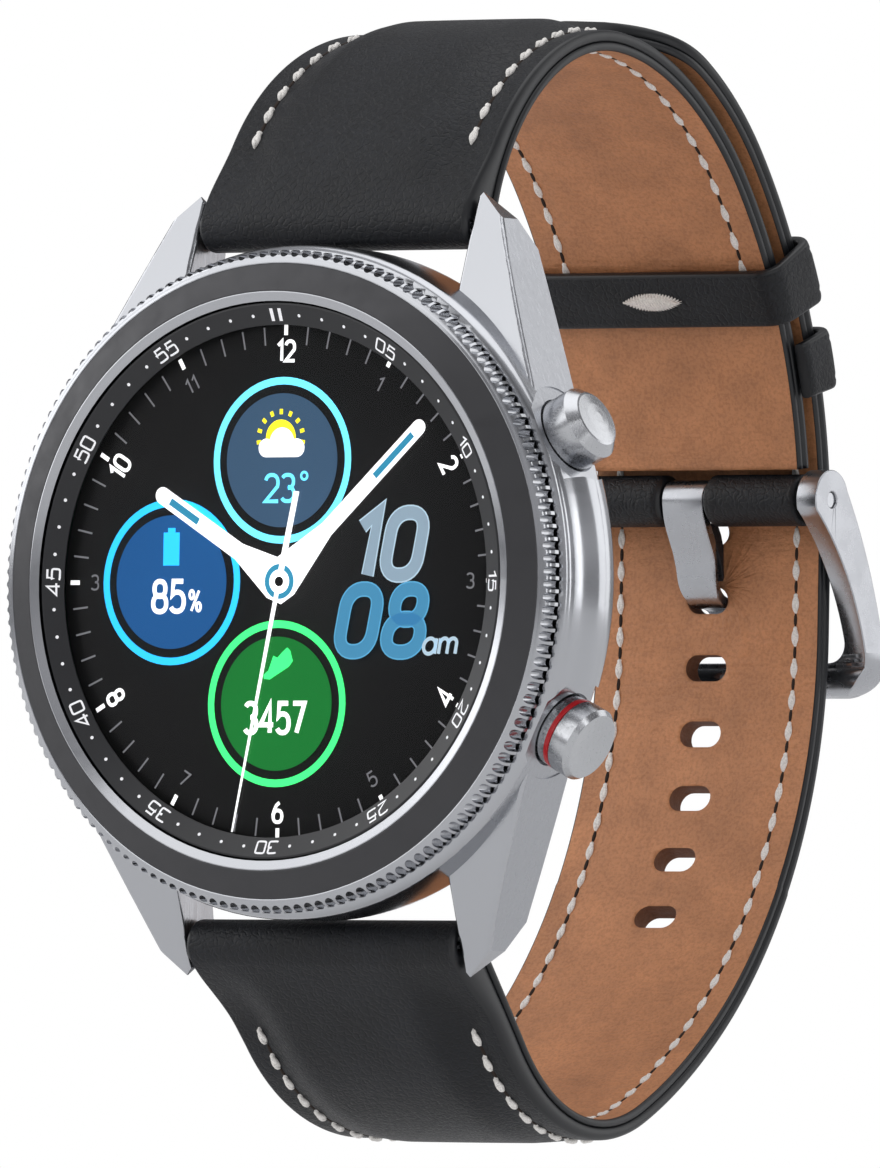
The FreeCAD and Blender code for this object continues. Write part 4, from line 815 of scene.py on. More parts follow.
@dataclass
class Dial:
    """The lit screen: ticks, hour figures, three small dials, a digital time and the hands.

    Attributes:
        face: Height of the screen's black face.
        step: Height between one lit layer and the next.
        letters: Strokes of the figures.
        layer: Number of the layer made last.
        HOUR_TICK: Inner and outer radius of a five-minute tick.
        MINUTE_TICK: Inner and outer radius of the other ticks.
        BOLD_RADIUS: Radius of the even hours' figures.
        SMALL_RADIUS: Radius of the odd hours' figures.
        RING_RADIUS: Radius of a small dial's lit ring.
        RING_WIDE: Width of that ring.
        DISC_RADIUS: Radius of a small dial's coloured disc.
    """

    face: float = 10.74
    step: float = 0.012
    letters: Lettering = field(default_factory=Lettering)
    layer: int = 0

    HOUR_TICK: ClassVar[Point] = (16.35, 17.1)
    MINUTE_TICK: ClassVar[Point] = (15.75, 16.95)
    BOLD_RADIUS: ClassVar[float] = 15.3
    SMALL_RADIUS: ClassVar[float] = 15.1
    RING_RADIUS: ClassVar[float] = 5.28
    RING_WIDE: ClassVar[float] = 0.5
    DISC_RADIUS: ClassVar[float] = 4.45

    @staticmethod
    def _round_dial(radius: float, degrees: float) -> Point:
        """A place on the dial, at an angle clockwise from 12 o'clock."""
        angle = math.radians(degrees)
        return (radius * math.sin(angle), radius * math.cos(angle))

    def _next(self, name: str, finish: Finish) -> tuple[Piece, float]:
        """Starts a piece on the next layer of the screen.

        Args:
            name: End of the piece's name.
            finish: Its finish.

        Returns:
            The piece and its height.
        """
        self.layer += 1
        return Piece(f"dial_{name}", "case", "screen", [finish]), self.face + self.step * self.layer

    def _text(
        self, piece: Piece, height: float, text: str, at: Point, high: float, stroke: float,
        turn: float = 0.0, **style: float
    ) -> None:
        """Sets a text on the dial.

        Args:
            piece: Piece to add to.
            height: Height of its faces.
            text: Letters to set.
            at: Middle of the text.
            high: Height of a capital.
            stroke: Width of the line.
            turn: Clockwise turn in degrees.
            style: Squeeze, slant and gap of the letters.
        """
        c, s = math.cos(math.radians(turn)), math.sin(math.radians(turn))
        for quads in self.letters.outlines(text, high, stroke, **style):
            for quad in quads:
                piece.flat([(at[0] + x * c + z * s, at[1] - x * s + z * c) for x, z in quad], height)

    def _line(self, piece: Piece, height: float, points: Sequence[Point], width: float) -> None:
        """Draws a line on the dial.

        Args:
            piece: Piece to add to.
            height: Height of its faces.
            points: Points of the line.
            width: Its width.
        """
        for quad in stroke_quads(points, width, False):
            piece.flat(quad, height)

    def _ring(
        self, name: str, finish: Finish, at: Point, radius: float, width: float
    ) -> None:
        """Makes a ring on its own layer.

        Args:
            name: End of the piece's name.
            finish: Its finish.
            at: Middle of the ring.
            radius: Radius of its middle line.
            width: Its width.
        """
        piece, height = self._next(name, finish)
        for quad in stroke_quads(disc(*at, radius), width, True):
            piece.flat(quad, height)
        piece.finish(outward=False)

    def build(self) -> None:
        """Makes the screen and everything lit on it."""
        panel = Piece("dial_panel", "case", "screen", [Finishes.SCREEN])
        lathe(panel, [(0.001, 10.2), (17.5, 10.2), (17.5, self.face), (0.001, self.face)], 128)
        panel.finish(replaces=["display_panel"])
        self._ticks()
        self._figures()
        self._small_dials()
        self._digital()
        self._hands()

    def _ticks(self) -> None:
        """Makes the minute and five-minute ticks."""
        minor, low = self._next("minute_ticks", Finishes.LIT_GREY)
        major, high = self._next("hour_ticks", Finishes.LIT_WHITE)
        for minute in range(60):
            angle = math.radians(6 * minute)
            way = (math.sin(angle), math.cos(angle))
            five = minute % 5 == 0
            inner, outer = self.HOUR_TICK if five else self.MINUTE_TICK
            line = [(way[0] * inner, way[1] * inner), (way[0] * outer, way[1] * outer)]
            self._line(major if five else minor, high if five else low, line, 0.3 if five else 0.13)
        minor.finish(outward=False)
        major.finish(outward=False)

    def _figures(self) -> None:
        """Makes the hour figures, bold at even hours and small at odd ones."""
        bold, height = self._next("hour_figures", Finishes.LIT_WHITE)
        for hour in (12, 2, 4, 6, 8, 10):
            angle = 30 * hour
            turn = angle if hour in (10, 12, 2) else angle - 180
            at = self._round_dial(self.BOLD_RADIUS, angle)
            self._text(bold, height, str(hour), at, 1.3, 0.24, turn, squeeze=0.9)
        bold.finish(outward=False)
        small, height = self._next("small_figures", Finishes.LIT_GREY)
        for hour, label in ((1, "1"), (3, "3"), (5, "5"), (7, "7"), (9, "3"), (11, "11")):
            angle = 30 * hour
            turn = angle if hour in (1, 11) else (0 if hour in (3, 9) else angle - 180)
            at = self._round_dial(self.SMALL_RADIUS, angle)
            self._text(small, height, label, at, 0.95, 0.13, turn)
        small.finish(outward=False)

    def _small_dials(self) -> None:
        """Makes the three small dials."""
        top, left, bottom = (-0.1, 8.05), (-8.85, 0.0), (-0.2, -8.1)
        rings = (
            ("top_ring", Finishes.LIT_CYAN, top),
            ("left_ring", Finishes.LIT_RING_BLUE, left),
            ("bottom_ring", Finishes.LIT_RING_GREEN, bottom),
        )
        for name, finish, at in rings:
            self._ring(name, finish, at, self.RING_RADIUS, self.RING_WIDE)
        discs = (
            ("top_disc", Finishes.LIT_SLATE, top),
            ("left_disc", Finishes.LIT_BLUE, left),
            ("bottom_disc", Finishes.LIT_GREEN, bottom),
        )
        for name, finish, at in discs:
            piece, height = self._next(name, finish)
            piece.flat(disc(*at, self.DISC_RADIUS), height)
            piece.finish(outward=False)
        self._weather(top)
        self._battery(left)
        self._steps(bottom)

    def _weather(self, at: Point) -> None:
        """Makes the sun, the cloud and the temperature.

        Args:
            at: Middle of the small dial, as X and Z.
        """
        x, z = at
        sun, height = self._next("sun", Finishes.LIT_YELLOW)
        sun.flat([(x - 0.1 + px, z + 1.5 + pz) for px, pz in disc(0, 0, 1.2, 40)], height)
        for n in range(9):
            angle = math.radians(-8 + 24.5 * n)
            way = (math.cos(angle), math.sin(angle))
            line = [(x - 0.1 + way[0] * r, z + 1.45 + way[1] * r) for r in (1.6, 1.95)]
            self._line(sun, height, line, 0.26)
        sun.finish(outward=False)
        cloud, height = self._next("cloud", Finishes.LIT_WHITE)
        cloud.flat(disc(x - 1.25, z + 0.82, 0.62, 28), height)
        cloud.flat(disc(x + 1.2, z + 0.82, 0.62, 28), height + 0.001)
        cloud.flat(disc(x, z + 1.2, 0.98, 32), height + 0.002)
        cloud.flat(
            [(x - 1.25, z + 0.2), (x + 1.2, z + 0.2), (x + 1.2, z + 1.2), (x - 1.25, z + 1.2)],
            height + 0.003,
        )
        cloud.finish(outward=False)
        degrees, height = self._next("degrees", Finishes.LIT_CYAN)
        self._text(degrees, height, "23", (x - 0.1, z - 1.85), 1.75, 0.26, squeeze=0.95, gap=0.16)
        self._text(degrees, height, "o", (x + 1.85, z - 1.75), 1.9, 0.17)
        degrees.finish(outward=False)

    def _battery(self, at: Point) -> None:
        """Makes the cell symbol and its charge.

        Args:
            at: Middle of the small dial, as X and Z.
        """
        x, z = at
        cell, height = self._next("cell", Finishes.LIT_RING_BLUE)
        for half, low, high in ((0.65, 1.1, 3.3), (0.3, 3.3, 3.6)):
            corners = [(x - half, z + low), (x + half, z + low), (x + half, z + high), (x - half, z + high)]
            cell.flat(corners, height)
        cell.finish(outward=False)
        charge, height = self._next("charge", Finishes.LIT_WHITE)
        self._text(charge, height, "85", (x - 0.15, z - 0.95), 2.0, 0.34, squeeze=0.85, gap=0.2)
        self._text(charge, height, "%", (x + 2.0, z - 1.25), 1.35, 0.2, squeeze=0.9)
        charge.finish(outward=False)

    def _steps(self, at: Point) -> None:
        """Makes the shoe symbol and the count of steps.

        Args:
            at: Middle of the small dial, as X and Z.
        """
        x, z = at
        shoe, height = self._next("shoe", Finishes.LIT_RING_GREEN)
        outline = [
            (-1.2, 0.0), (-0.75, 0.35), (-0.3, 1.5), (0.1, 1.35), (0.5, 1.75), (1.0, 2.15), (1.3, 1.9),
            (1.55, 1.1), (1.2, 0.65), (0.2, 0.1), (-0.6, -0.35), (-1.15, -0.3),
        ]
        shoe.flat([(x + px * 0.85, z + 1.9 + pz * 0.85) for px, pz in outline], height)
        shoe.finish(outward=False)
        count, height = self._next("count", Finishes.LIT_WHITE)
        self._text(count, height, "3457", (x - 0.05, z - 0.95), 1.95, 0.34, squeeze=0.78, gap=0.17)
        count.finish(outward=False)

    def _digital(self) -> None:
        """Makes the digital hours and minutes, each with a lighter rim."""
        for name, text, at, rim, body in (
            ("hours", "10", (8.55, 2.45), Finishes.LIT_ICE_RIM, Finishes.LIT_ICE),
            ("minutes", "08", (8.3, -2.6), Finishes.LIT_STEEL_RIM, Finishes.LIT_STEEL_BLUE),
        ):
            for part, finish, stroke in (("rim", rim, 1.02), ("fill", body, 0.82)):
                piece, height = self._next(f"{name}_{part}", finish)
                self._text(piece, height, text, at, 4.15, stroke, squeeze=1.02, slant=0.2, gap=0.3)
                piece.finish(outward=False)
        half, height = self._next("half_day", Finishes.LIT_ICE_RIM)
        self._text(half, height, "am", (13.0, -3.85), 1.95, 0.26, slant=0.18, gap=0.16)
        half.finish(outward=False)

    def _hand(self, name: str, tip: Point, wide: float, narrow: float) -> None:
        """A tapered white hand with a teal inlay near its tip.

        Args:
            name: End of the piece's name.
            tip: Place of its tip.
            wide: Width at the hub.
            narrow: Width past the waist.
        """
        length = math.hypot(*tip)
        way = (tip[0] / length, tip[1] / length)
        side = (-way[1], way[0])

        def at(along: float, across: float) -> Point:
            """A point of the hand, along it and across it."""
            return (way[0] * along + side[0] * across, way[1] * along + side[1] * across)

        waist = 0.33 * length
        right = [at(-0.9, wide * 0.42), at(0.3, wide / 2), at(waist, narrow * 0.52)]
        right.append(at(length - narrow / 2, narrow / 2))
        cap = []
        for n in range(1, 8):
            angle = math.pi * n / 8
            cap.append(at(length - narrow / 2 + narrow / 2 * math.sin(angle), narrow / 2 * math.cos(angle)))
        left = [at(length - narrow / 2, -narrow / 2), at(waist, -narrow * 0.52)]
        left += [at(0.3, -wide / 2), at(-0.9, -wide * 0.42)]
        piece, height = self._next(name, Finishes.LIT_WHITE)
        piece.flat(right + cap + left, height)
        piece.finish(outward=False)
        inlay, height = self._next(f"{name}_inlay", Finishes.LIT_TEAL)
        self._line(inlay, height, [at(length * 0.66, 0), at(length - narrow * 1.15, 0)], narrow * 0.42)
        inlay.finish(outward=False)

    def _hands(self) -> None:
        """Makes the three hands and the hub."""
        self._hand("hour_hand", (-10.05, 6.05), 2.9, 1.15)
        self._hand("minute_hand", (11.35, 10.5), 2.9, 1.05)
        self._ring("hub_ring", Finishes.LIT_TEAL, (0, 0), 0.98, 0.36)
        second, height = self._next("second_hand", Finishes.LIT_WHITE)
        second.flat([(1.05, 6.0), (1.5, 5.95), (0.2, -0.1), (-0.25, 0.0)], height)
        second.flat([(0.16, 0.0), (-0.2, 0.05), (-3.52, -16.6), (-3.38, -16.62)], height)
        for quad in stroke_quads(disc(0, 0, 0.52, 32), 0.34, True):
            second.flat(quad, height)
        second.finish(outward=False)
        eye, height = self._next("hub_eye", Finishes.SCREEN)
        eye.flat(disc(0, 0, 0.34, 24), height)
        eye.finish(outward=False)


@dataclass
class MinuteRing:
    """Dots and squared figures printed on the sloping ring round the dial.

    Attributes:
        inner: Radius and height of the slope's foot.
        outer: Radius and height of its crest.
        lift: Height of the ink above the slope.
        letters: Strokes of the figures, squarer than the dial's.
    """

    inner: Point = (17.0, 11.68)
    outer: Point = (18.31, 12.25)
    lift: float = 0.008
    letters: Lettering = field(default_factory=lambda: Lettering(5.0))

    def _map(self, minute: float, across: float, up: float) -> Point3:
        """Finds a point on the slope.

        Args:
            minute: Place round the dial.
            across: Millimetres along the ring from there.
            up: Millimetres up the slope from its middle.

        Returns:
            The point in millimetres.
        """
        run, rise = self.outer[0] - self.inner[0], self.outer[1] - self.inner[1]
        slope = math.hypot(run, rise)
        share = 0.5 + up / slope
        radius = self.inner[0] + run * share
        height = self.inner[1] + rise * share + self.lift
        angle = math.radians(6 * minute) + across / (self.inner[0] + run / 2)
        return (radius * math.sin(angle), -height, radius * math.cos(angle))

    def build(self) -> None:
        """Makes the printed marks, in white ink with a painted glow."""
        # The ink's glow is painted brightness on printed marks.
        ink = Piece("minute_marks", "case", "minute_ring", [Finishes.WHITE_INK])
        for minute in range(60):
            if minute == 0:
                for across in (-0.32, 0.32):
                    quads = stroke_quads([(across, -0.45), (across, 0.45)], 0.26, False)
                    self._add(ink, 0, quads)
            elif minute % 5 == 0:
                for quads in self.letters.outlines(f"{minute:02d}", 0.86, 0.14, squeeze=1.35, gap=0.3):
                    self._add(ink, minute, quads)
            else:
                self._add(ink, minute, [disc(0, 0, 0.115, 14)])
        ink.finish(outward=False)

    def _add(self, ink: Piece, minute: float, quads: Sequence[Sequence[Point]]) -> None:
        """Lays flat shapes on the slope.

        Args:
            ink: Piece to add to.
            minute: Place round the dial.
            quads: Outlines of the shapes.
        """
        for quad in quads:
            verts = [ink.mesh.verts.new(Vector(self._map(minute, x, z)) * MM) for x, z in quad]
            face = ink.mesh.faces.new(verts)
            face.normal_update()
            if face.normal.y > 0:
                face.normal_flip()


# ---------------------------------------------------------------- strap


def polar(centre: Point, radius: float, degrees: float) -> Point:
    """Finds a point of the side view.

    Args:
        centre: Centre of the arc.
        radius: Its radius.
        degrees: Angle from +Y towards +Z.

    Returns:
        The point as Y and Z.
    """
    angle = math.radians(degrees)
    return (centre[0] + radius * math.cos(angle), centre[1] + radius * math.sin(angle))


@dataclass(frozen=True)
class Span:
    """A stretch of the side view between an inner and an outer run.

    Attributes:
        inner: Function from 0..1 to the inner run's point.
        outer: Function from 0..1 to the outer run's point.
        length: Length used to share out the stations.
    """

    inner: Callable[[float], Point]
    outer: Callable[[float], Point]
    length: float


def arc_run(centre: Point, radius: float, start: float, end: float) -> Callable[[float], Point]:
    """Makes a run along an arc.

    Args:
        centre: Centre of the arc.
        radius: Its radius.
        start: First angle in degrees.
        end: Last angle in degrees.

    Returns:
        Function from 0..1 to a point.
    """
    return lambda t: polar(centre, radius, start + (end - start) * t)


def line_run(start: Point, end: Point) -> Callable[[float], Point]:
    """Makes a run along a straight line.

    Args:
        start: First point.
        end: Last point.

    Returns:
        Function from 0..1 to a point.
    """
    return lambda t: (start[0] + (end[0] - start[0]) * t, start[1] + (end[1] - start[1]) * t)


def smooth(value: float) -> float:
    """Eases a value from 0 to 1.

    Args:
        value: Value, held to 0..1.

    Returns:
        The eased value.
    """
    value = min(1.0, max(0.0, value))
    return value * value * (3 - 2 * value)


@dataclass
class StrapSide:
    """One strap's side view, and the sections swept along it.

    Attributes:
        name: Start of its pieces' names.
        sign: 1 for the 12 o'clock strap, -1 for the 6 o'clock strap.
        spans: Stretches from the free end to the spring bar's end loop.
        loop: Stretch round the spring bar, for the leather only.
        bar: Centre of the spring bar.
        step: Distance between stations.
        lining_thick: Thickness of the lining.
        stitch_inset: Distance of the stitches from the edge.
        LUG_HALF: Half of the width at the lugs.
        TAPER: How much the half-width loses on the way to the buckle.
        BUCKLE_HALF: Half of the width at the buckle.
        TAIL_HALF: Half of the width of the long strap's narrow end.
        TAPER_SPAN: Places of the inner face between which the strap narrows.
    """

    name: str
    sign: int
    spans: list[Span]
    loop: Span
    bar: Point
    step: float = 0.3
    lining_thick: float = 0.6
    stitch_inset: float = 2.0

    LUG_HALF: ClassVar[float] = 10.8
    TAPER: ClassVar[float] = 1.6
    BUCKLE_HALF: ClassVar[float] = 9.2
    TAIL_HALF: ClassVar[float] = 9.15
    TAPER_SPAN: ClassVar[Point] = (-3.0, 28.0)

    def half_width(self, y: float, tail: bool) -> float:
        """Half of the strap's width at a place.

        Args:
            y: Place of the inner face.
            tail: True on the long strap's narrow end.

        Returns:
            Half of the width.
        """
        if tail:
            return self.TAIL_HALF
        start, end = self.TAPER_SPAN
        if y >= end:
            return self.BUCKLE_HALF
        return self.LUG_HALF - self.TAPER * smooth((y - start) / (end - start))

    def stations(self, spans: Sequence[Span]) -> list[tuple[Point, Point]]:
        """Inner and outer points along the strap.

        Args:
            spans: Stretches to follow.

        Returns:
            Pairs of an inner and an outer point.
        """
        found: list[tuple[Point, Point]] = []
        for span in spans:
            count = max(3, round(span.length / self.step))
            first = 1 if found else 0
            for n in range(first, count + 1):
                found.append((span.inner(n / count), span.outer(n / count)))
        return found


def band(centre: Point, radius: float, start: float, end: float, length: float) -> Span:
    """Makes a stretch of even thickness along an arc.

    Args:
        centre: Centre of the arc.
        radius: Radius of the inner face.
        start: First angle in degrees.
        end: Last angle in degrees.
        length: Length used to share out the stations.

    Returns:
        The stretch.
    """
    outer = radius + Strap.THICK
    return Span(arc_run(centre, radius, start, end), arc_run(centre, outer, start, end), length)


class Strap:
    """Side view of the two straps.

    Attributes:
        BACK: Centre of the arc that both follow behind the wrist.
        BEND: Centre of the long strap's arc below it.
        THICK: Leather and lining together, where there is no padding.
        CROWN: Angle at which the back arc meets the tighter arc above it.
        LOOP: Radii of the leather loop round a spring bar.
        UNPADDED: Shift of the padded outer arc's centre from the inner arc's.
    """

    BACK: Point = (0.0, 4.5)
    BEND: Point = (5.4, -1.8)
    THICK = 1.4
    CROWN = 38.9
    LOOP = (0.95, 1.75)
    UNPADDED = -2.7

    @staticmethod
    def bar_loop(bar: Point, start: float, end: float) -> Span:
        """Makes the stretch round a spring bar.

        Args:
            bar: Centre of the spring bar.
            start: First angle in degrees.
            end: Last angle in degrees.

        Returns:
            The stretch.
        """
        inner, outer = Strap.LOOP
        return Span(arc_run(bar, inner, start, end), arc_run(bar, outer, start, end), 5.7)

    @staticmethod
    def short() -> "StrapSide":
        """The strap at 12 o'clock, from the buckle's bar to the lugs."""
        crown_end, inner_end, outer_end = 85.6, 169.0, 161.5
        crown = polar(Strap.BACK, 15.9, Strap.CROWN)
        front = polar(crown, 6.7, crown_end)
        padded = polar(front, Strap.UNPADDED, crown_end)
        bar = (-4.0, 24.0)
        spans = [
            band(Strap.BACK, 37.8, 7.4, Strap.CROWN, 21.5),
            band(crown, 21.9, Strap.CROWN, crown_end, 18.5),
            Span(
                arc_run(front, 15.2, crown_end, inner_end),
                arc_run(padded, 19.3, crown_end, outer_end),
                25.0,
            ),
        ]
        loop = Strap.bar_loop(bar, outer_end, 349.0)
        return StrapSide("short_strap", 1, spans, loop, bar)

    @staticmethod
    def long() -> "StrapSide":
        """The strap at 6 o'clock, from its rounded tip to the lugs."""
        tip, bend_end, inner_end, outer_end = 76.4, -67.3, -140.2, -138.7
        low, high = Strap.BEND[1], Strap.BACK[1]
        inside, front_inside, front_outside = 40.4, 13.3, 17.4
        outside = inside + Strap.THICK
        crown = polar(Strap.BACK, 18.1, Strap.CROWN)
        front = polar(Strap.BEND, 21.7, bend_end)
        padded = polar(front, Strap.UNPADDED, bend_end)
        bar = (-4.0, -24.0)
        round_bar = Strap.LOOP[1]
        spans = [
            band(crown, 22.3, tip, Strap.CROWN, 15.0),
            band(Strap.BACK, inside, Strap.CROWN, 0.0, 28.0),
            Span(line_run((inside, high), (inside, low)), line_run((outside, high), (outside, low)), 6.3),
            band(Strap.BEND, 35.0, 0.0, bend_end, 42.0),
            Span(
                arc_run(front, front_inside, bend_end, inner_end),
                arc_run(padded, front_outside, bend_end, outer_end),
                20.0,
            ),
            Span(
                line_run(polar(front, front_inside, inner_end), polar(bar, -round_bar, inner_end)),
                line_run(polar(padded, front_outside, outer_end), polar(bar, round_bar, outer_end)),
                8.5,
            ),
        ]
        loop = Strap.bar_loop(bar, outer_end, -349.0)
        return StrapSide("long_strap", -1, spans, loop, bar)


@dataclass
class StrapMaker:
    """Sweeps leather, lining and stitches along one strap side.

    Attributes:
        side: The side view to follow.
        plain_end: Length of folded lining without stitches at the buckle's end.
    """

    side: StrapSide
    plain_end: float = 14.6

    def _tip_scale(self, travelled: float) -> float:
        """Narrows the long strap's tip to a rounded end.

        Args:
            travelled: Distance from the tip.

        Returns:
            Share of the full width.
        """
        if self.side.sign > 0:
            return 1.0
        corner = 6.5
        if travelled >= corner:
            return 1.0
        share = 1 - travelled / corner
        return 1 - 0.72 * (1 - math.sqrt(max(0.0, 1 - share**2.4)))

    def _frame(self, spans: Sequence[Span]) -> list[dict[str, float | np.ndarray]]:
        """Measures each station.

        Args:
            spans: Stretches to follow.

        Returns:
            Base point, outward way, gap, half-width and distance travelled (s).
        """
        points = self.side.stations(spans)
        found = []
        travelled = 0.0
        for n, (inner, outer) in enumerate(points):
            a, b = np.array(inner), np.array(outer)
            if n:
                travelled += float(np.linalg.norm(b - np.array(points[n - 1][1])))
            gap = float(np.linalg.norm(b - a))
            tail = self.side.sign < 0 and (travelled < 43.0 or a[0] > 36)
            half = self.side.half_width(float(a[0]), tail) * self._tip_scale(travelled)
            found.append(
                {"base": a, "way": (b - a) / gap, "gap": gap, "half": half, "s": travelled}
            )
        return found

    def _swell(self, y: float) -> float:
        """Extra padding of the short strap just in front of the long strap's tip.

        Args:
            y: Place of the inner face.

        Returns:
            Extra height.
        """
        if self.side.sign < 0:
            return 0.0
        return 0.8 * smooth((y - 0.5) / 7.0) * smooth((18.5 - y) / 5.5)

    @staticmethod
    def _ridge(half: float, low: float, high: float, bulge: float, count: int = 7) -> list[Point]:
        """Rounds an edge on the +X side.

        Args:
            half: Half of the width.
            low: Height of its foot.
            high: Height of its top.
            bulge: How far it rounds out.
            count: Steps round it.

        Returns:
            Points from foot to top.
        """
        mid, reach = (low + high) / 2, (high - low) / 2
        points = []
        for n in range(count + 1):
            angle = -math.pi / 2 + math.pi * n / count
            points.append((half - bulge + bulge * math.cos(angle), mid + reach * math.sin(angle)))
        return points

    def _leather_section(self, st: dict, fold: float) -> list[Point]:
        """The leather's section: a flat base, rolled edges, sunk stitch lines and a padded middle.

        Args:
            st: The station.
            fold: 1 where the leather folds at the lugs, 0 away from there.

        Returns:
            Points of X and height.
        """
        low, top, half = self.side.lining_thick, float(st["gap"]), float(st["half"])
        plain = top - low
        edge = low + min(plain, 0.8) + 0.45 * max(0.0, plain - 0.8)
        edge += (top - edge) * fold
        right = self._ridge(half, low, edge, 0.3)
        puff = max(0.0, top - edge)
        inset = self.side.stitch_inset
        crest = []
        for t in np.linspace(0, 1, 25):
            x = (half - 0.36) * (1 - 2 * t)
            away = half - abs(x)
            valley = 0.14 * (1 - fold) * math.exp(-((away - inset) ** 2) / 0.16)
            rise = puff * smooth((away - inset - 0.1) / 3.2)
            crown = 0.06 * (1 - (x / half) ** 2)
            crown += self._swell(float(st["base"][0])) * (1 - fold) * smooth((away - inset) / 3.4)
            crest.append((x, edge - valley + rise + crown))
        left = [(-x, h) for x, h in reversed(right)]
        return right + crest + left

    def _lining_section(self, st: dict) -> list[Point]:
        """The lining's section: a flat face with a fine border crease and rounded edges.

        Args:
            st: The station.

        Returns:
            Points of X and height.
        """
        high, half = self.side.lining_thick, float(st["half"])
        right = self._ridge(half, 0.0, high, 0.2)
        under = []
        for t in np.linspace(0, 1, 29):
            x = -(half - 0.32) * (1 - 2 * t)
            away = half - abs(x)
            crease = 0.05 * math.exp(-((away - 1.0) ** 2) / 0.012)
            seam = 0.1 * math.exp(-((away - self.side.stitch_inset) ** 2) / 0.1)
            under.append((x, crease + seam))
        left = [(-x, h) for x, h in reversed(right)]
        return right + left + under

    def _sweep(
        self, frames: Sequence[dict], section: Callable[[dict], list[Point]]
    ) -> list[list[Point3]]:
        """Sets a section at each station.

        Args:
            frames: The stations.
            section: Gives a station's section.

        Returns:
            A row of points a station.
        """
        rows = []
        for st in frames:
            base, way = st["base"], st["way"]
            row = []
            for x, h in section(st):
                y, z = base + way * h
                row.append((x, float(y), float(z)))
            rows.append(row)
        return rows

    def build(self) -> None:
        """Makes the strap's leather, lining and stitches."""
        side = self.side
        plain = self._frame(side.spans)
        whole_length = float(plain[-1]["s"])

        def fold(st: dict) -> float:
            """Rises to 1 at the lugs."""
            return smooth(1 - (whole_length - float(st["s"])) / 6.0)

        leather = Piece(f"{side.name}_leather_skin", "strap", "leather_black", [
            Finishes.BLACK_LEATHER, Finishes.EDGE, Finishes.CUT_LEATHER])
        rows = self._sweep(plain, lambda st: self._leather_section(st, fold(st)))
        loop_frames = self._loop_frames(plain[-1])
        rows += self._sweep(loop_frames, lambda st: self._loop_section(st))
        edge_columns = 7
        wide = len(rows[0])
        leather.grid(
            rows, lambda i, j: 1 if j < edge_columns or j >= wide - edge_columns - 1 else 0,
            around=True, caps=True,
        )
        skin = leather.finish(replaces=[f"{side.name}_leather", f"{side.name}_padding"])

        lining = Piece(f"{side.name}_lining_skin", "strap", "leather_brown", [
            Finishes.BROWN_LEATHER, Finishes.EDGE, Finishes.CUT_LEATHER])
        rows = self._sweep(plain, self._lining_section)
        lining.grid(rows, lambda i, j: 1 if j < 2 * edge_columns + 1 else 0, around=True, caps=True)
        under = lining.finish(replaces=[f"{side.name}_lining"])
        if side.sign < 0:
            for obj in (skin, under):
                punch(obj)
        self._stitches(plain)

    def _loop_frames(self, last: dict) -> list[dict]:
        """Measures the loop round the spring bar.

        Args:
            last: The strap's last plain station.

        Returns:
            The loop's stations after that one.
        """
        frames = self._frame([self.side.loop])
        for st in frames:
            st["half"] = last["half"]
            st["thick"] = st["gap"]
        return frames[1:]

    def _loop_section(self, st: dict) -> list[Point]:
        """A plain section for the loop round the spring bar, with the leather's point count.

        Args:
            st: The station.

        Returns:
            Points of X and height.
        """
        high, half = float(st["thick"]), float(st["half"])
        right = self._ridge(half, 0.02, high, 0.34)
        crest = [((half - 0.36) * (1 - 2 * t), high) for t in np.linspace(0, 1, 25)]
        left = [(-x, h) for x, h in reversed(right)]
        return right + crest + left

    def _stitches(self, frames: Sequence[dict]) -> None:
        """Sews both faces along both edges.

        Args:
            frames: The strap's stations.
        """
        side = self.side
        end = float(frames[-1]["s"])
        outside = Stitching(f"{side.name}_stitches_outside")
        inside = Stitching(f"{side.name}_stitches_inside")
        pitch = 2.25
        start = 1.2 if side.sign > 0 else 3.0
        count = int((end - 6.4 - start) / pitch)
        for n in range(count + 1):
            s = start + n * pitch
            for sign in (1, -1):
                for sewing, face in ((outside, "outer"), (inside, "inner")):
                    if face == "inner" and side.sign > 0 and s < self.plain_end:
                        continue
                    middle, ahead = self._at(frames, s, face), self._at(frames, s + 0.3, face)
                    gap_mid = self._at(frames, s + pitch / 2, face)
                    flat = 0.5 if face == "inner" else 1.0
                    sewing.stitch(sign, middle, ahead, side.stitch_inset, flat)
                    if n < count:
                        # Between two stitches, a patch of painted shade for the needle hole.
                        sewing.gap(sign, gap_mid, self._at(frames, s + pitch / 2 + 0.3, face),
                                   side.stitch_inset)
        outside.finish()
        inside.finish()

    def _at(self, frames: Sequence[dict], s: float, face: str) -> dict:
        """Finds a place on a face by its distance along the strap.

        Args:
            frames: The strap's stations.
            s: Distance along the strap.
            face: outer or inner.

        Returns:
            Its point, upward way and half-width.
        """
        places = [float(st["s"]) for st in frames]
        n = min(len(frames) - 2, max(0, int(np.searchsorted(places, s)) - 1))
        a, b = frames[n], frames[n + 1]
        t = (s - places[n]) / max(1e-6, places[n + 1] - places[n])
        base = a["base"] * (1 - t) + b["base"] * t
        way = a["way"] * (1 - t) + b["way"] * t
        way = way / np.linalg.norm(way)
        gap = float(a["gap"]) * (1 - t) + float(b["gap"]) * t
        half = float(a["half"]) * (1 - t) + float(b["half"]) * t
        if face == "outer":
            plain = gap - self.side.lining_thick
            height = self.side.lining_thick + min(plain, 0.8) + 0.45 * max(0.0, plain - 0.8) - 0.1
            return {"point": base + way * height, "up": way, "half": half}
        return {"point": base + way * 0.06, "up": -way, "half": half}


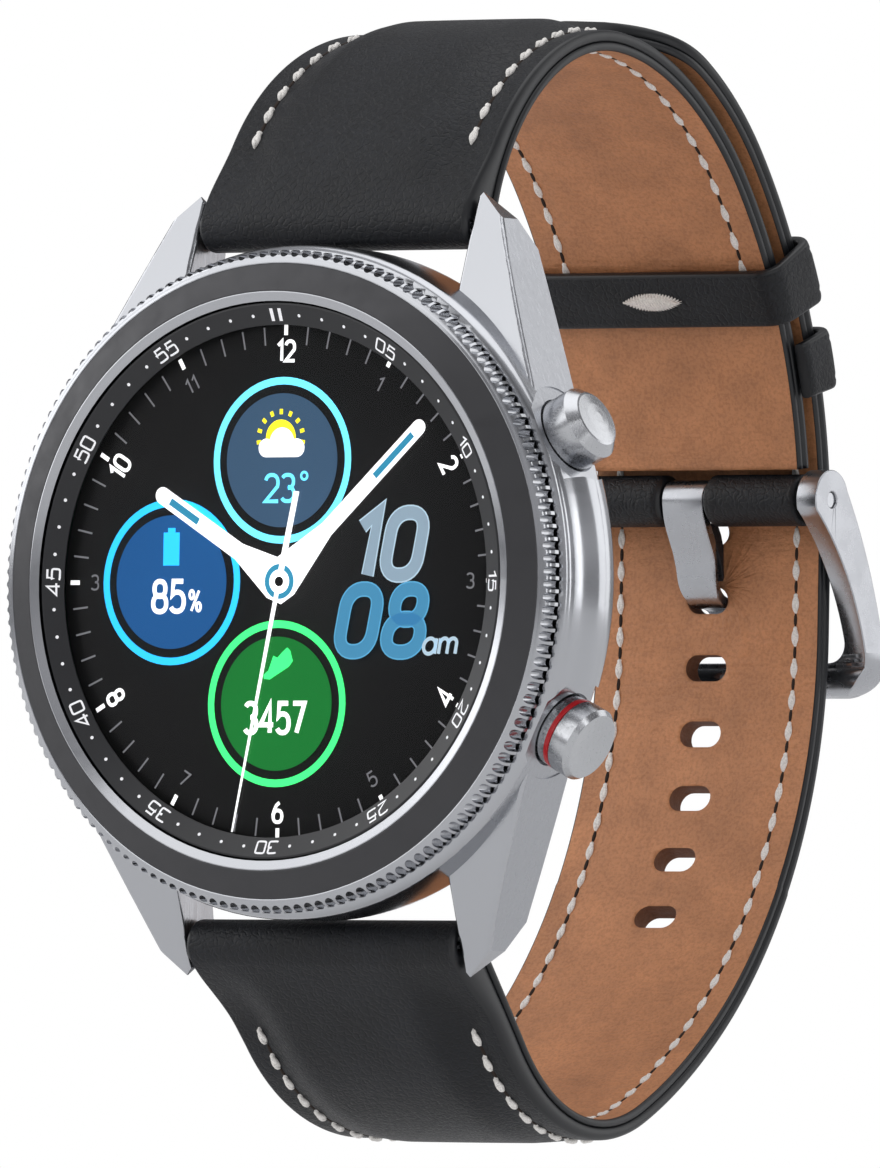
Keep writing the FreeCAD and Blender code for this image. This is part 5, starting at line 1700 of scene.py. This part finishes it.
class Hole:
    """Sizes of the buckle holes.

    Attributes:
        COUNT: How many.
        USED: Number of the hole in use, from the tip.
        USED_Z: Its height.
        PITCH: Distance between holes along the strap.
        BACK_RADIUS: Radius of the strap's middle on the back arc, and its Y on the straight.
        BEND_RADIUS: Radius of the strap's middle on the bend below.
        REACH: Half of the distance between the centres of a hole's round ends.
        END: Radius of a hole's round ends.
        DEPTH: Half of the cutter's depth.
        STEPS: Facets round each end.
    """

    COUNT = 7
    USED = 1
    USED_Z = 0.6
    PITCH = 4.65
    BACK_RADIUS = 41.1
    BEND_RADIUS = 35.7
    REACH = 0.75
    END = 0.9
    DEPTH = 3.0
    STEPS = 12


def hole_places() -> list[tuple[Point, float]]:
    """Sets out the buckle holes.

    Returns:
        Middle of each hole in the side view, and its outward angle.
    """
    places: list[tuple[Point, float]] = []
    for number in range(Hole.COUNT):
        z = Hole.USED_Z + (Hole.USED - number) * Hole.PITCH
        if z > Strap.BACK[1]:
            angle = math.degrees((z - Strap.BACK[1]) / Hole.BACK_RADIUS)
            places.append((polar(Strap.BACK, Hole.BACK_RADIUS, angle), angle))
        elif z > Strap.BEND[1]:
            places.append(((Hole.BACK_RADIUS, z), 0.0))
        else:
            angle = math.degrees((z - Strap.BEND[1]) / Hole.BEND_RADIUS)
            places.append((polar(Strap.BEND, Hole.BEND_RADIUS, angle), angle))
    return places


def punch(obj: bpy.types.Object) -> None:
    """Punches the buckle holes through a strap layer, with raw leather on their walls.

    Args:
        obj: The strap layer.
    """
    cutter = bmesh.new()
    outline = []
    for side, start in ((1, -90), (-1, 90)):
        for n in range(Hole.STEPS + 1):
            a = math.radians(start + 180 * n / Hole.STEPS)
            outline.append((side * Hole.REACH + Hole.END * math.cos(a), Hole.END * math.sin(a)))
    for middle, angle in hole_places():
        out = polar((0, 0), 1, angle)
        up = (-out[1], out[0])
        rings = []
        for level in (-Hole.DEPTH, Hole.DEPTH):
            ring = []
            for x, v in outline:
                y = middle[0] + out[0] * level + up[0] * v
                z = middle[1] + out[1] * level + up[1] * v
                ring.append(cutter.verts.new(Vector((x, y, z)) * MM))
            rings.append(ring)
        count = len(outline)
        for n in range(count):
            m = (n + 1) % count
            cutter.faces.new((rings[0][n], rings[0][m], rings[1][m], rings[1][n]))
        cutter.faces.new(rings[0][::-1])
        cutter.faces.new(rings[1])
    bmesh.ops.recalc_face_normals(cutter, faces=cutter.faces)
    data = bpy.data.meshes.new("hole_cutters")
    cutter.to_mesh(data)
    cutter.free()
    data.materials.append(SHOP.get(Finishes.CUT_LEATHER))
    tool = bpy.data.objects.new("hole_cutters", data)
    bpy.context.collection.objects.link(tool)
    modifier = obj.modifiers.new("holes", "BOOLEAN")
    modifier.object = tool
    modifier.operation = "DIFFERENCE"
    modifier.solver = "EXACT"
    modifier.material_mode = "TRANSFER"
    depsgraph = bpy.context.evaluated_depsgraph_get()
    result = bpy.data.meshes.new_from_object(obj.evaluated_get(depsgraph))
    obj.modifiers.clear()
    obj.data = result
    bpy.data.objects.remove(tool)


class Stitching:
    """Two-ply stitches and dark patches of painted shade for the needle holes between them, as one piece.
    """

    LENGTH = 1.5
    RADIUS = 0.18

    def __init__(self, name: str) -> None:
        """Starts an empty seam.

        Args:
            name: Piece name.
        """
        self.piece = Piece(name, "strap", "", [Finishes.THREAD, Finishes.NEEDLE_HOLE])

    @staticmethod
    def _axes(middle: dict, ahead: dict) -> tuple[np.ndarray, np.ndarray, np.ndarray]:
        """Finds a stitch's own axes.

        Args:
            middle: Place of the stitch.
            ahead: A place a little further on.

        Returns:
            Unit vectors along, up and across.
        """
        point, forward = middle["point"], ahead["point"] - middle["point"]
        along = np.array((0.0, *forward)) / np.linalg.norm(forward)
        up = np.array((0.0, *middle["up"]))
        up = up - along * float(up @ along)
        up /= np.linalg.norm(up)
        return along, up, np.cross(along, up)

    def stitch(
        self, sign: int, middle: dict, ahead: dict, inset: float, flat: float = 1.0
    ) -> None:
        """Adds one stitch of two twisted plies.

        Args:
            sign: 1 for the +X edge, -1 for the other.
            middle: Place of the stitch.
            ahead: A place a little further on.
            inset: Distance from the strap's edge.
            flat: How far it is pressed down: 1 is round.
        """
        along, up, across = self._axes(middle, ahead)
        centre = np.array((sign * (middle["half"] - inset), *middle["point"]))
        steps, sides = 9, 7
        for ply in (0, 1):
            rows = []
            for n in range(steps + 1):
                t = n / steps * 2 - 1
                swell = math.sqrt(max(0.03, 1 - t**4))
                twist = math.pi * ply + t * 2.3
                offset = 0.11 * swell
                core = centre + along * t * self.LENGTH / 2 + up * flat * (0.16 * (1 - t**4) - 0.04)
                core = core + (across * math.cos(twist) + up * math.sin(twist) * 0.7 * flat) * offset
                row = []
                for k in range(sides):
                    a = 2 * math.pi * k / sides
                    radius = self.RADIUS * swell
                    row.append(tuple(core + (across * math.cos(a) + up * math.sin(a) * flat) * radius))
                rows.append(row)
            self.piece.grid(rows, 0, around=True, caps=True)

    def gap(self, sign: int, middle: dict, ahead: dict, inset: float) -> None:
        """Adds a dark patch of painted shade for the needle hole between two stitches.

        Args:
            sign: 1 for the +X edge, -1 for the other.
            middle: Place of the slot.
            ahead: A place a little further on.
            inset: Distance from the strap's edge.
        """
        along, up, across = self._axes(middle, ahead)
        centre = np.array((sign * (middle["half"] - inset), *middle["point"])) + up * 0.005
        rows = []
        for n in range(5):
            t = n / 4 * 2 - 1
            row = []
            for k in range(6):
                a = 2 * math.pi * k / 6
                wide = 0.16 * math.sqrt(max(0.05, 1 - t * t))
                row.append(tuple(centre + along * t * 0.5 + across * math.cos(a) * wide
                                 + up * math.sin(a) * 0.05))
            rows.append(row)
        # Finish 1 is the needle holes' painted shade.
        self.piece.grid(rows, 1, around=True, caps=True)

    def finish(self) -> None:
        """Places the stitches."""
        self.piece.finish()


@dataclass
class TongueBacking:
    """The dark leather strip behind the tongue, from the bar to the hole in use.

    Attributes:
        half: Half of its width.
    """

    half: float = 1.6

    def build(self) -> None:
        """Makes the strip."""
        piece = Piece("tongue_backing", "prong", "leather_black", [Finishes.BLACK_LEATHER])
        front = [(38.2, 5.8), (38.42, 5.4), (38.95, 4.3), (39.5, 3.2), (39.78, 2.3), (39.9, 1.9)]
        back = [(39.15, 5.75), (39.5, 5.2), (39.85, 4.3), (39.9, 3.2), (39.95, 2.3), (39.97, 1.9)]
        outline = front + back[::-1]
        rows = []
        for x, inset in ((-1.0, 0.12), (-0.93, 0.0), (0.0, 0.0), (0.93, 0.0), (1.0, 0.12)):
            middle = (sum(y for y, _ in outline) / len(outline), sum(z for _, z in outline) / len(outline))
            row = []
            for y, z in outline:
                row.append((x * self.half, y + (middle[0] - y) * inset, z + (middle[1] - z) * inset))
            rows.append(row)
        piece.grid(rows, 0, around=True, caps=True)
        piece.finish()


@dataclass
class BuckleWrap:
    """The leather that wraps the buckle's bar at the short strap's end.

    Attributes:
        bar: Centre of the buckle's bar.
        radius: Outer radius of the wrap.
        slot: Half-width of the gap for the prong.
    """

    bar: Point = (38.397, 7.32)
    radius: float = 1.76
    slot: float = 1.78

    def build(self) -> None:
        """Makes the wrap as two rolls, one on each side of the prong."""
        piece = Piece("buckle_wrap", "strap", "leather_black", [Finishes.BLACK_LEATHER, Finishes.EDGE])
        for sign in (1, -1):
            rows = []
            stops = [self.slot, self.slot + 0.25, *np.linspace(2.6, 8.9, 12), 9.1, 9.2]
            for n, x in enumerate(stops):
                inset = 0.25 if n in (0, len(stops) - 1) else 0.0
                row = []
                for k in range(28):
                    angle = 360 * k / 28
                    radius = self.radius - inset
                    y, z = polar(self.bar, radius, angle)
                    row.append((sign * x, y, z))
                rows.append(row)
            piece.grid(rows, lambda i, j: 1 if i == 0 else 0, around=True, caps=True)
        piece.finish()


# ---------------------------------------------------------------- keepers


@dataclass
class Keeper:
    """A leather band round the straps.

    Attributes:
        name: Piece name.
        body: Body that it rides on.
        node: CAD node that it stands for.
        angle: Place on the straps' back arc, in degrees.
        wide: Size along the strap.
        inside: Radii of the opening, from the wrist outwards.
        closed: False for a band whose ends are sewn into the short strap's edges.
        half: Half of the opening across the strap.
        thick: Thickness of the band.
        arc: Radius that sizes along the strap are measured at.
    """

    name: str
    body: str
    node: str
    angle: float
    wide: float
    inside: Point
    closed: bool
    half: float = 9.42
    thick: float = 0.85
    arc: float = 41.0

    def _route(self) -> list[tuple[Point, Point]]:
        """Follows the middle of the band.

        Returns:
            Points as X and radius, and outward ways.
        """
        low, high = self.inside[0] - self.thick / 2, self.inside[1] + self.thick / 2
        half, corner = self.half + self.thick / 2, 1.15
        route: list[tuple[Point, Point]] = []
        corners = (
            ((half - corner, high - corner), 0), ((corner - half, high - corner), 90),
            ((corner - half, low + corner), 180), ((half - corner, low + corner), 270),
        )
        if not self.closed:
            route.append(((half, low), (1.0, 0.0)))
            corners = corners[:2]
        for centre, start in corners:
            for n in range(9):
                a = math.radians(start + 90 * n / 8)
                way = (math.cos(a), math.sin(a))
                route.append(((centre[0] + corner * way[0], centre[1] + corner * way[1]), way))
        if not self.closed:
            route.append(((-half, low), (-1.0, 0.0)))
        return route

    def _densify(self, route: list[tuple[Point, Point]]) -> list[tuple[Point, Point]]:
        """Adds points on the straight runs, so that shading stays even.

        Args:
            route: Points and outward ways.

        Returns:
            The route with the added points.
        """
        found = []
        count = len(route)
        for n in range(count if self.closed else count - 1):
            (p, w), (q, v) = route[n], route[(n + 1) % count]
            pieces = max(1, int(math.dist(p, q) / 0.8))
            for k in range(pieces):
                t = k / pieces
                found.append((
                    (p[0] + (q[0] - p[0]) * t, p[1] + (q[1] - p[1]) * t),
                    (w[0] + (v[0] - w[0]) * t, w[1] + (v[1] - w[1]) * t),
                ))
        if not self.closed:
            found.append(route[-1])
        return found

    def build(self) -> None:
        """Makes the band."""
        piece = Piece(self.name, self.body, "leather_black", [Finishes.BLACK_LEATHER, Finishes.EDGE])
        rows = []
        section = self._section()
        for (x, radius), way in self._densify(self._route()):
            size = math.hypot(*way)
            row = []
            for along, across in section:
                px = x + way[0] / size * across
                pr = radius + way[1] / size * across
                row.append(self._place(px, pr, along))
            rows.append(row)
        edge = {n for n, (along, _) in enumerate(section) if abs(along) > self.wide / 2 - 0.22}
        piece.grid(rows, lambda i, j: 1 if j in edge else 0, around=True, along=self.closed,
                   caps=not self.closed)
        obj = piece.finish(replaces=[self.node])

    def _section(self) -> list[Point]:
        """Draws the band's section, with a crease beside each edge.

        Returns:
            Points as size along the strap and height across the thickness.
        """
        half_wide, half_thick = self.wide / 2, self.thick / 2
        points = []
        for n in range(40):
            a = 2 * math.pi * n / 40
            c, s = math.cos(a), math.sin(a)
            along = math.copysign(abs(c) ** 0.36, c) * half_wide
            groove = 0.06 * math.exp(-((abs(along) - half_wide + 0.75) ** 2) / 0.02)
            across = math.copysign(abs(s) ** 0.5, s) * half_thick
            across -= math.copysign(groove, s) if abs(s) > 0.3 else 0.0
            points.append((along, across))
        return points

    def _place(self, x: float, radius: float, along: float) -> Point3:
        """Finds a point in space.

        Args:
            x: Place across the strap.
            radius: Radius about the back arc's centre.
            along: Size along the strap.

        Returns:
            The point in millimetres.
        """
        y, z = polar(Strap.BACK, radius, self.angle + math.degrees(along / self.arc))
        return (x, y, z)

    def patch(self) -> None:
        """Adds the thread whipping at the middle of the inner band."""
        piece = Piece(f"{self.name}_whipping", self.body, "", [Finishes.THREAD])
        face = self.inside[0] - self.thick - 0.02
        for lean, lift, count in ((0.3, 0.05, 19), (-0.3, 0.17, 19)):
            for n in range(count):
                t = n / (count - 1) * 2 - 1
                reach = 0.08 + 0.66 * (1 - t * t)
                rows = []
                for k in range(9):
                    u = k / 8 * 2 - 1
                    x = t * 2.05 + u * lean
                    rise = lift * (1 - u**4)
                    radius = 0.15 * math.sqrt(max(0.05, 1 - u**4))
                    row = []
                    for m in range(6):
                        a = 2 * math.pi * m / 6
                        out = face - rise - radius * math.sin(a) * 0.6
                        row.append(self._place(x + radius * math.cos(a), out, u * reach))
                    rows.append(row)
                piece.grid(rows, 0, around=True, caps=True)
        piece.finish()


# ---------------------------------------------------------------- metal and other CAD pieces


class CadDresser:
    """Gives the CAD pieces their finishes."""

    TABLE: dict[str, Finish] = {
        "case_middle": Finishes.POLISHED, "display_glass": Finishes.GLASS,
        "display_gasket": Finishes.RUBBER, "minute_ring": Finishes.MINUTE_RING,
        "case_back": Finishes.SATIN, "back_glass": Finishes.BACK, "back_gasket": Finishes.RUBBER,
        "back_screws": Finishes.TURNED, "sensor_board": Finishes.BOARD,
        "optical_sensors": Finishes.BACK, "charging_coil": Finishes.COPPER, "battery": Finishes.CELL,
        "inner_frame": Finishes.PLASTIC, "vibration_motor": Finishes.SATIN,
        "speaker": Finishes.PLASTIC, "main_board": Finishes.BOARD, "board_shields": Finishes.SATIN,
        "bezel_snap_ring": Finishes.SATIN, "click_balls": Finishes.POLISHED,
        "click_springs": Finishes.SATIN, "upper_pusher_seal": Finishes.RUBBER,
        "lower_pusher_seal": Finishes.RUBBER, "upper_pusher_spring": Finishes.SATIN,
        "lower_pusher_spring": Finishes.SATIN, "upper_switch": Finishes.PLASTIC,
        "lower_switch": Finishes.PLASTIC, "bezel_ring": Finishes.POLISHED,
        "bezel_insert": Finishes.INSERT, "bezel_magnets": Finishes.POLISHED,
        "upper_pusher": Finishes.TURNED, "upper_pusher_clip": Finishes.SATIN,
        "lower_pusher": Finishes.TURNED, "lower_pusher_band": Finishes.RED,
        "lower_pusher_clip": Finishes.SATIN, "buckle_frame": Finishes.SATIN,
        "buckle_bar": Finishes.POLISHED, "buckle_prong": Finishes.SATIN,
        "top_bar_tube": Finishes.SATIN, "top_bar_fixed_pin": Finishes.POLISHED,
        "top_bar_plunger": Finishes.POLISHED, "top_bar_spring": Finishes.SATIN,
        "bottom_bar_tube": Finishes.SATIN, "bottom_bar_fixed_pin": Finishes.POLISHED,
        "bottom_bar_plunger": Finishes.POLISHED, "bottom_bar_spring": Finishes.SATIN,
    }

    def dress(self) -> None:
        """Assigns every finish, and brushes the case's flanks."""
        for name, finish in self.TABLE.items():
            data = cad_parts[name].data
            data.materials.clear()
            data.materials.append(SHOP.get(finish))
        self._brush_flanks(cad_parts["case_middle"].data)
        for name, width in (("buckle_frame", 0.28), ("buckle_prong", 0.12)):
            self._soften(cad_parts[name], width)

    @staticmethod
    def _brush_flanks(data: bpy.types.Mesh) -> None:
        """Gives the lugs' upright outer flanks the brushed finish.

        Args:
            data: The case's mesh.
        """
        data.materials.append(SHOP.get(Finishes.BRUSHED))
        for face in data.polygons:
            centre, normal = face.center / MM, face.normal
            if abs(normal.y) < 0.2 and abs(normal.x) > 0.7 and abs(centre.z) > 8.6:
                face.material_index = 1

    @staticmethod
    def _soften(obj: bpy.types.Object, width: float) -> None:
        """Rounds the sharp edges of a pressed part.

        Args:
            obj: The part.
            width: Bevel width in millimetres.
        """
        weld = obj.modifiers.new("weld", "WELD")
        weld.merge_threshold = 1e-7
        bevel = obj.modifiers.new("bevel", "BEVEL")
        bevel.width = width * MM
        bevel.segments = 4
        bevel.limit_method = "ANGLE"
        bevel.angle_limit = math.radians(38)
        bevel.harden_normals = False


# ---------------------------------------------------------------- stage


@dataclass
class Stage:
    """Camera, floor and light.

    Attributes:
        azimuth: Camera's place round the watch, in degrees.
        elevation: Camera's height angle, in degrees.
        roll: Tilt of the picture, in degrees.
        distance_m: Distance from the camera to the dial.
        lens: Focal length for a 36 mm sensor.
        LIGHTS: Name, place in metres, width, height and watts of each soft box.
    """

    azimuth: float = 34.2
    elevation: float = -1.9
    roll: float = 1.0
    distance_m: float = 1.5
    lens: float = 698.0

    LIGHTS: ClassVar[tuple[tuple[str, Point3, float, float, float], ...]] = (
        ("key", (-0.55, -0.75, 0.6), 0.9, 1.0, 3.6),
        ("right", (0.85, -0.12, 0.05), 0.16, 0.7, 0.75),
        ("front", (0.8, -0.7, 0.15), 0.12, 0.9, 0.8),
        ("low", (0.3, -1.2, -0.5), 0.9, 0.4, 1.0),
        ("top", (0.1, 0.1, 0.95), 1.2, 0.9, 3.6),
        ("rim", (0.5, 0.8, 0.3), 0.5, 0.8, 1.5),
        ("inside", (-0.75, -0.2, 0.3), 0.4, 0.5, 1.1),
    )

    def build(self) -> None:
        """Sets up the whole stage."""
        self._camera()
        self._floor()
        self._lights()

    def _camera(self) -> None:
        """Places the camera."""
        a, e = math.radians(self.azimuth), math.radians(self.elevation)
        right = Vector((math.cos(a), math.sin(a), 0))
        target = Vector((0, -0.0116, 0)) + right * 0.01096
        back = Vector((math.sin(a) * math.cos(e), -math.cos(a) * math.cos(e), math.sin(e)))
        data = bpy.data.cameras.new("camera")
        data.lens = self.lens
        data.sensor_width = 36.0
        data.clip_end = 20.0
        camera = bpy.data.objects.new("camera", data)
        bpy.context.collection.objects.link(camera)
        turn = back.to_track_quat("Z", "Y").to_matrix().to_4x4()
        spin = Matrix.Rotation(math.radians(self.roll), 4, "Z")
        camera.matrix_world = Matrix.Translation(target + back * self.distance_m) @ turn @ spin
        bpy.context.scene.camera = camera

    def _floor(self) -> None:
        """Lays a pale floor."""
        data = bpy.data.meshes.new("floor")
        side, low = 3.0, -0.062
        data.from_pydata(
            [(-side, -side, low), (side, -side, low), (side, side, low), (-side, side, low)], [],
            [(0, 1, 2, 3)],
        )
        material = bpy.data.materials.new("floor_white")
        material.use_nodes = True
        shader = material.node_tree.nodes["Principled BSDF"]
        shader.inputs["Base Color"].default_value = (0.86, 0.86, 0.86, 1.0)
        shader.inputs["Roughness"].default_value = 0.8
        data.materials.append(material)
        floor = bpy.data.objects.new("floor", data)
        bpy.context.collection.objects.link(floor)

    def _lights(self) -> None:
        """Hangs the soft boxes and paints the room that the steel reflects."""
        scene = bpy.context.scene
        world = bpy.data.worlds.new("world")
        scene.world = world
        world.use_nodes = True
        tree = world.node_tree
        background = tree.nodes["Background"]
        source = tree.nodes.new("ShaderNodeTexCoord")
        parts = tree.nodes.new("ShaderNodeSeparateXYZ")
        tree.links.new(source.outputs["Generated"], parts.inputs["Vector"])
        height = tree.nodes.new("ShaderNodeMapRange")
        height.inputs["From Min"].default_value = -1.0
        tree.links.new(parts.outputs["Z"], height.inputs["Value"])
        room = tree.nodes.new("ShaderNodeValToRGB")
        stops = ((0.0, 0.2), (0.38, 0.08), (0.5, 0.3), (0.6, 0.55), (0.78, 0.16), (1.0, 0.7))
        for place, grey in stops[1:-1]:
            room.color_ramp.elements.new(place).color = (grey, grey, grey * 1.03, 1.0)
        for element, (_, grey) in zip((room.color_ramp.elements[0], room.color_ramp.elements[-1]),
                                      (stops[0], stops[-1])):
            element.color = (grey, grey, grey * 1.03, 1.0)
        tree.links.new(height.outputs["Result"], room.inputs["Fac"])
        path = tree.nodes.new("ShaderNodeLightPath")
        mix = tree.nodes.new("ShaderNodeMix")
        mix.data_type = "RGBA"
        mix.inputs["B"].default_value = (1.0, 1.0, 1.0, 1.0)
        tree.links.new(room.outputs["Color"], mix.inputs["A"])
        tree.links.new(path.outputs["Is Camera Ray"], mix.inputs["Factor"])
        tree.links.new(mix.outputs["Result"], background.inputs["Color"])
        for name, place, wide, high, power in self.LIGHTS:
            self._area(name, place, wide, high, power)
        scene.view_settings.view_transform = "Standard"

    @staticmethod
    def _area(name: str, place: Sequence[float], wide: float, high: float, power: float) -> None:
        """A soft box aimed at the watch.

        Args:
            name: Light's name.
            place: Its place in metres.
            wide: Its width in metres.
            high: Its height in metres.
            power: Its power in watts.
        """
        data = bpy.data.lights.new(name, "AREA")
        data.shape = "RECTANGLE"
        data.size, data.size_y = wide, high
        data.energy = power
        light = bpy.data.objects.new(name, data)
        bpy.context.collection.objects.link(light)
        aim = Vector(place) - Vector((0, 0.01, 0))
        turned = aim.to_track_quat("Z", "Y").to_matrix().to_4x4()
        light.matrix_world = Matrix.Translation(Vector(place)) @ turned


@dataclass
class Watch:
    """The whole watch."""

    dial: Dial = field(default_factory=Dial)
    ring: MinuteRing = field(default_factory=MinuteRing)
    dresser: CadDresser = field(default_factory=CadDresser)

    def build(self) -> None:
        """Makes every piece."""
        self.dresser.dress()
        self.dial.build()
        self.ring.build()
        StrapMaker(Strap.short()).build()
        StrapMaker(Strap.long()).build()
        BuckleWrap().build()
        TongueBacking().build()
        free = Keeper("free_keeper_band", "keeper", "free_keeper", 26.0, 4.4, (37.6, 42.0), True)
        free.build()
        free.patch()
        Keeper("fixed_keeper_band", "strap", "fixed_keeper", 17.4, 4.0, (38.9, 42.0), False).build()


def main() -> None:
    """Builds the scene."""
    Stage().build()
    Watch().build()


if __name__ == "__main__":
    main()
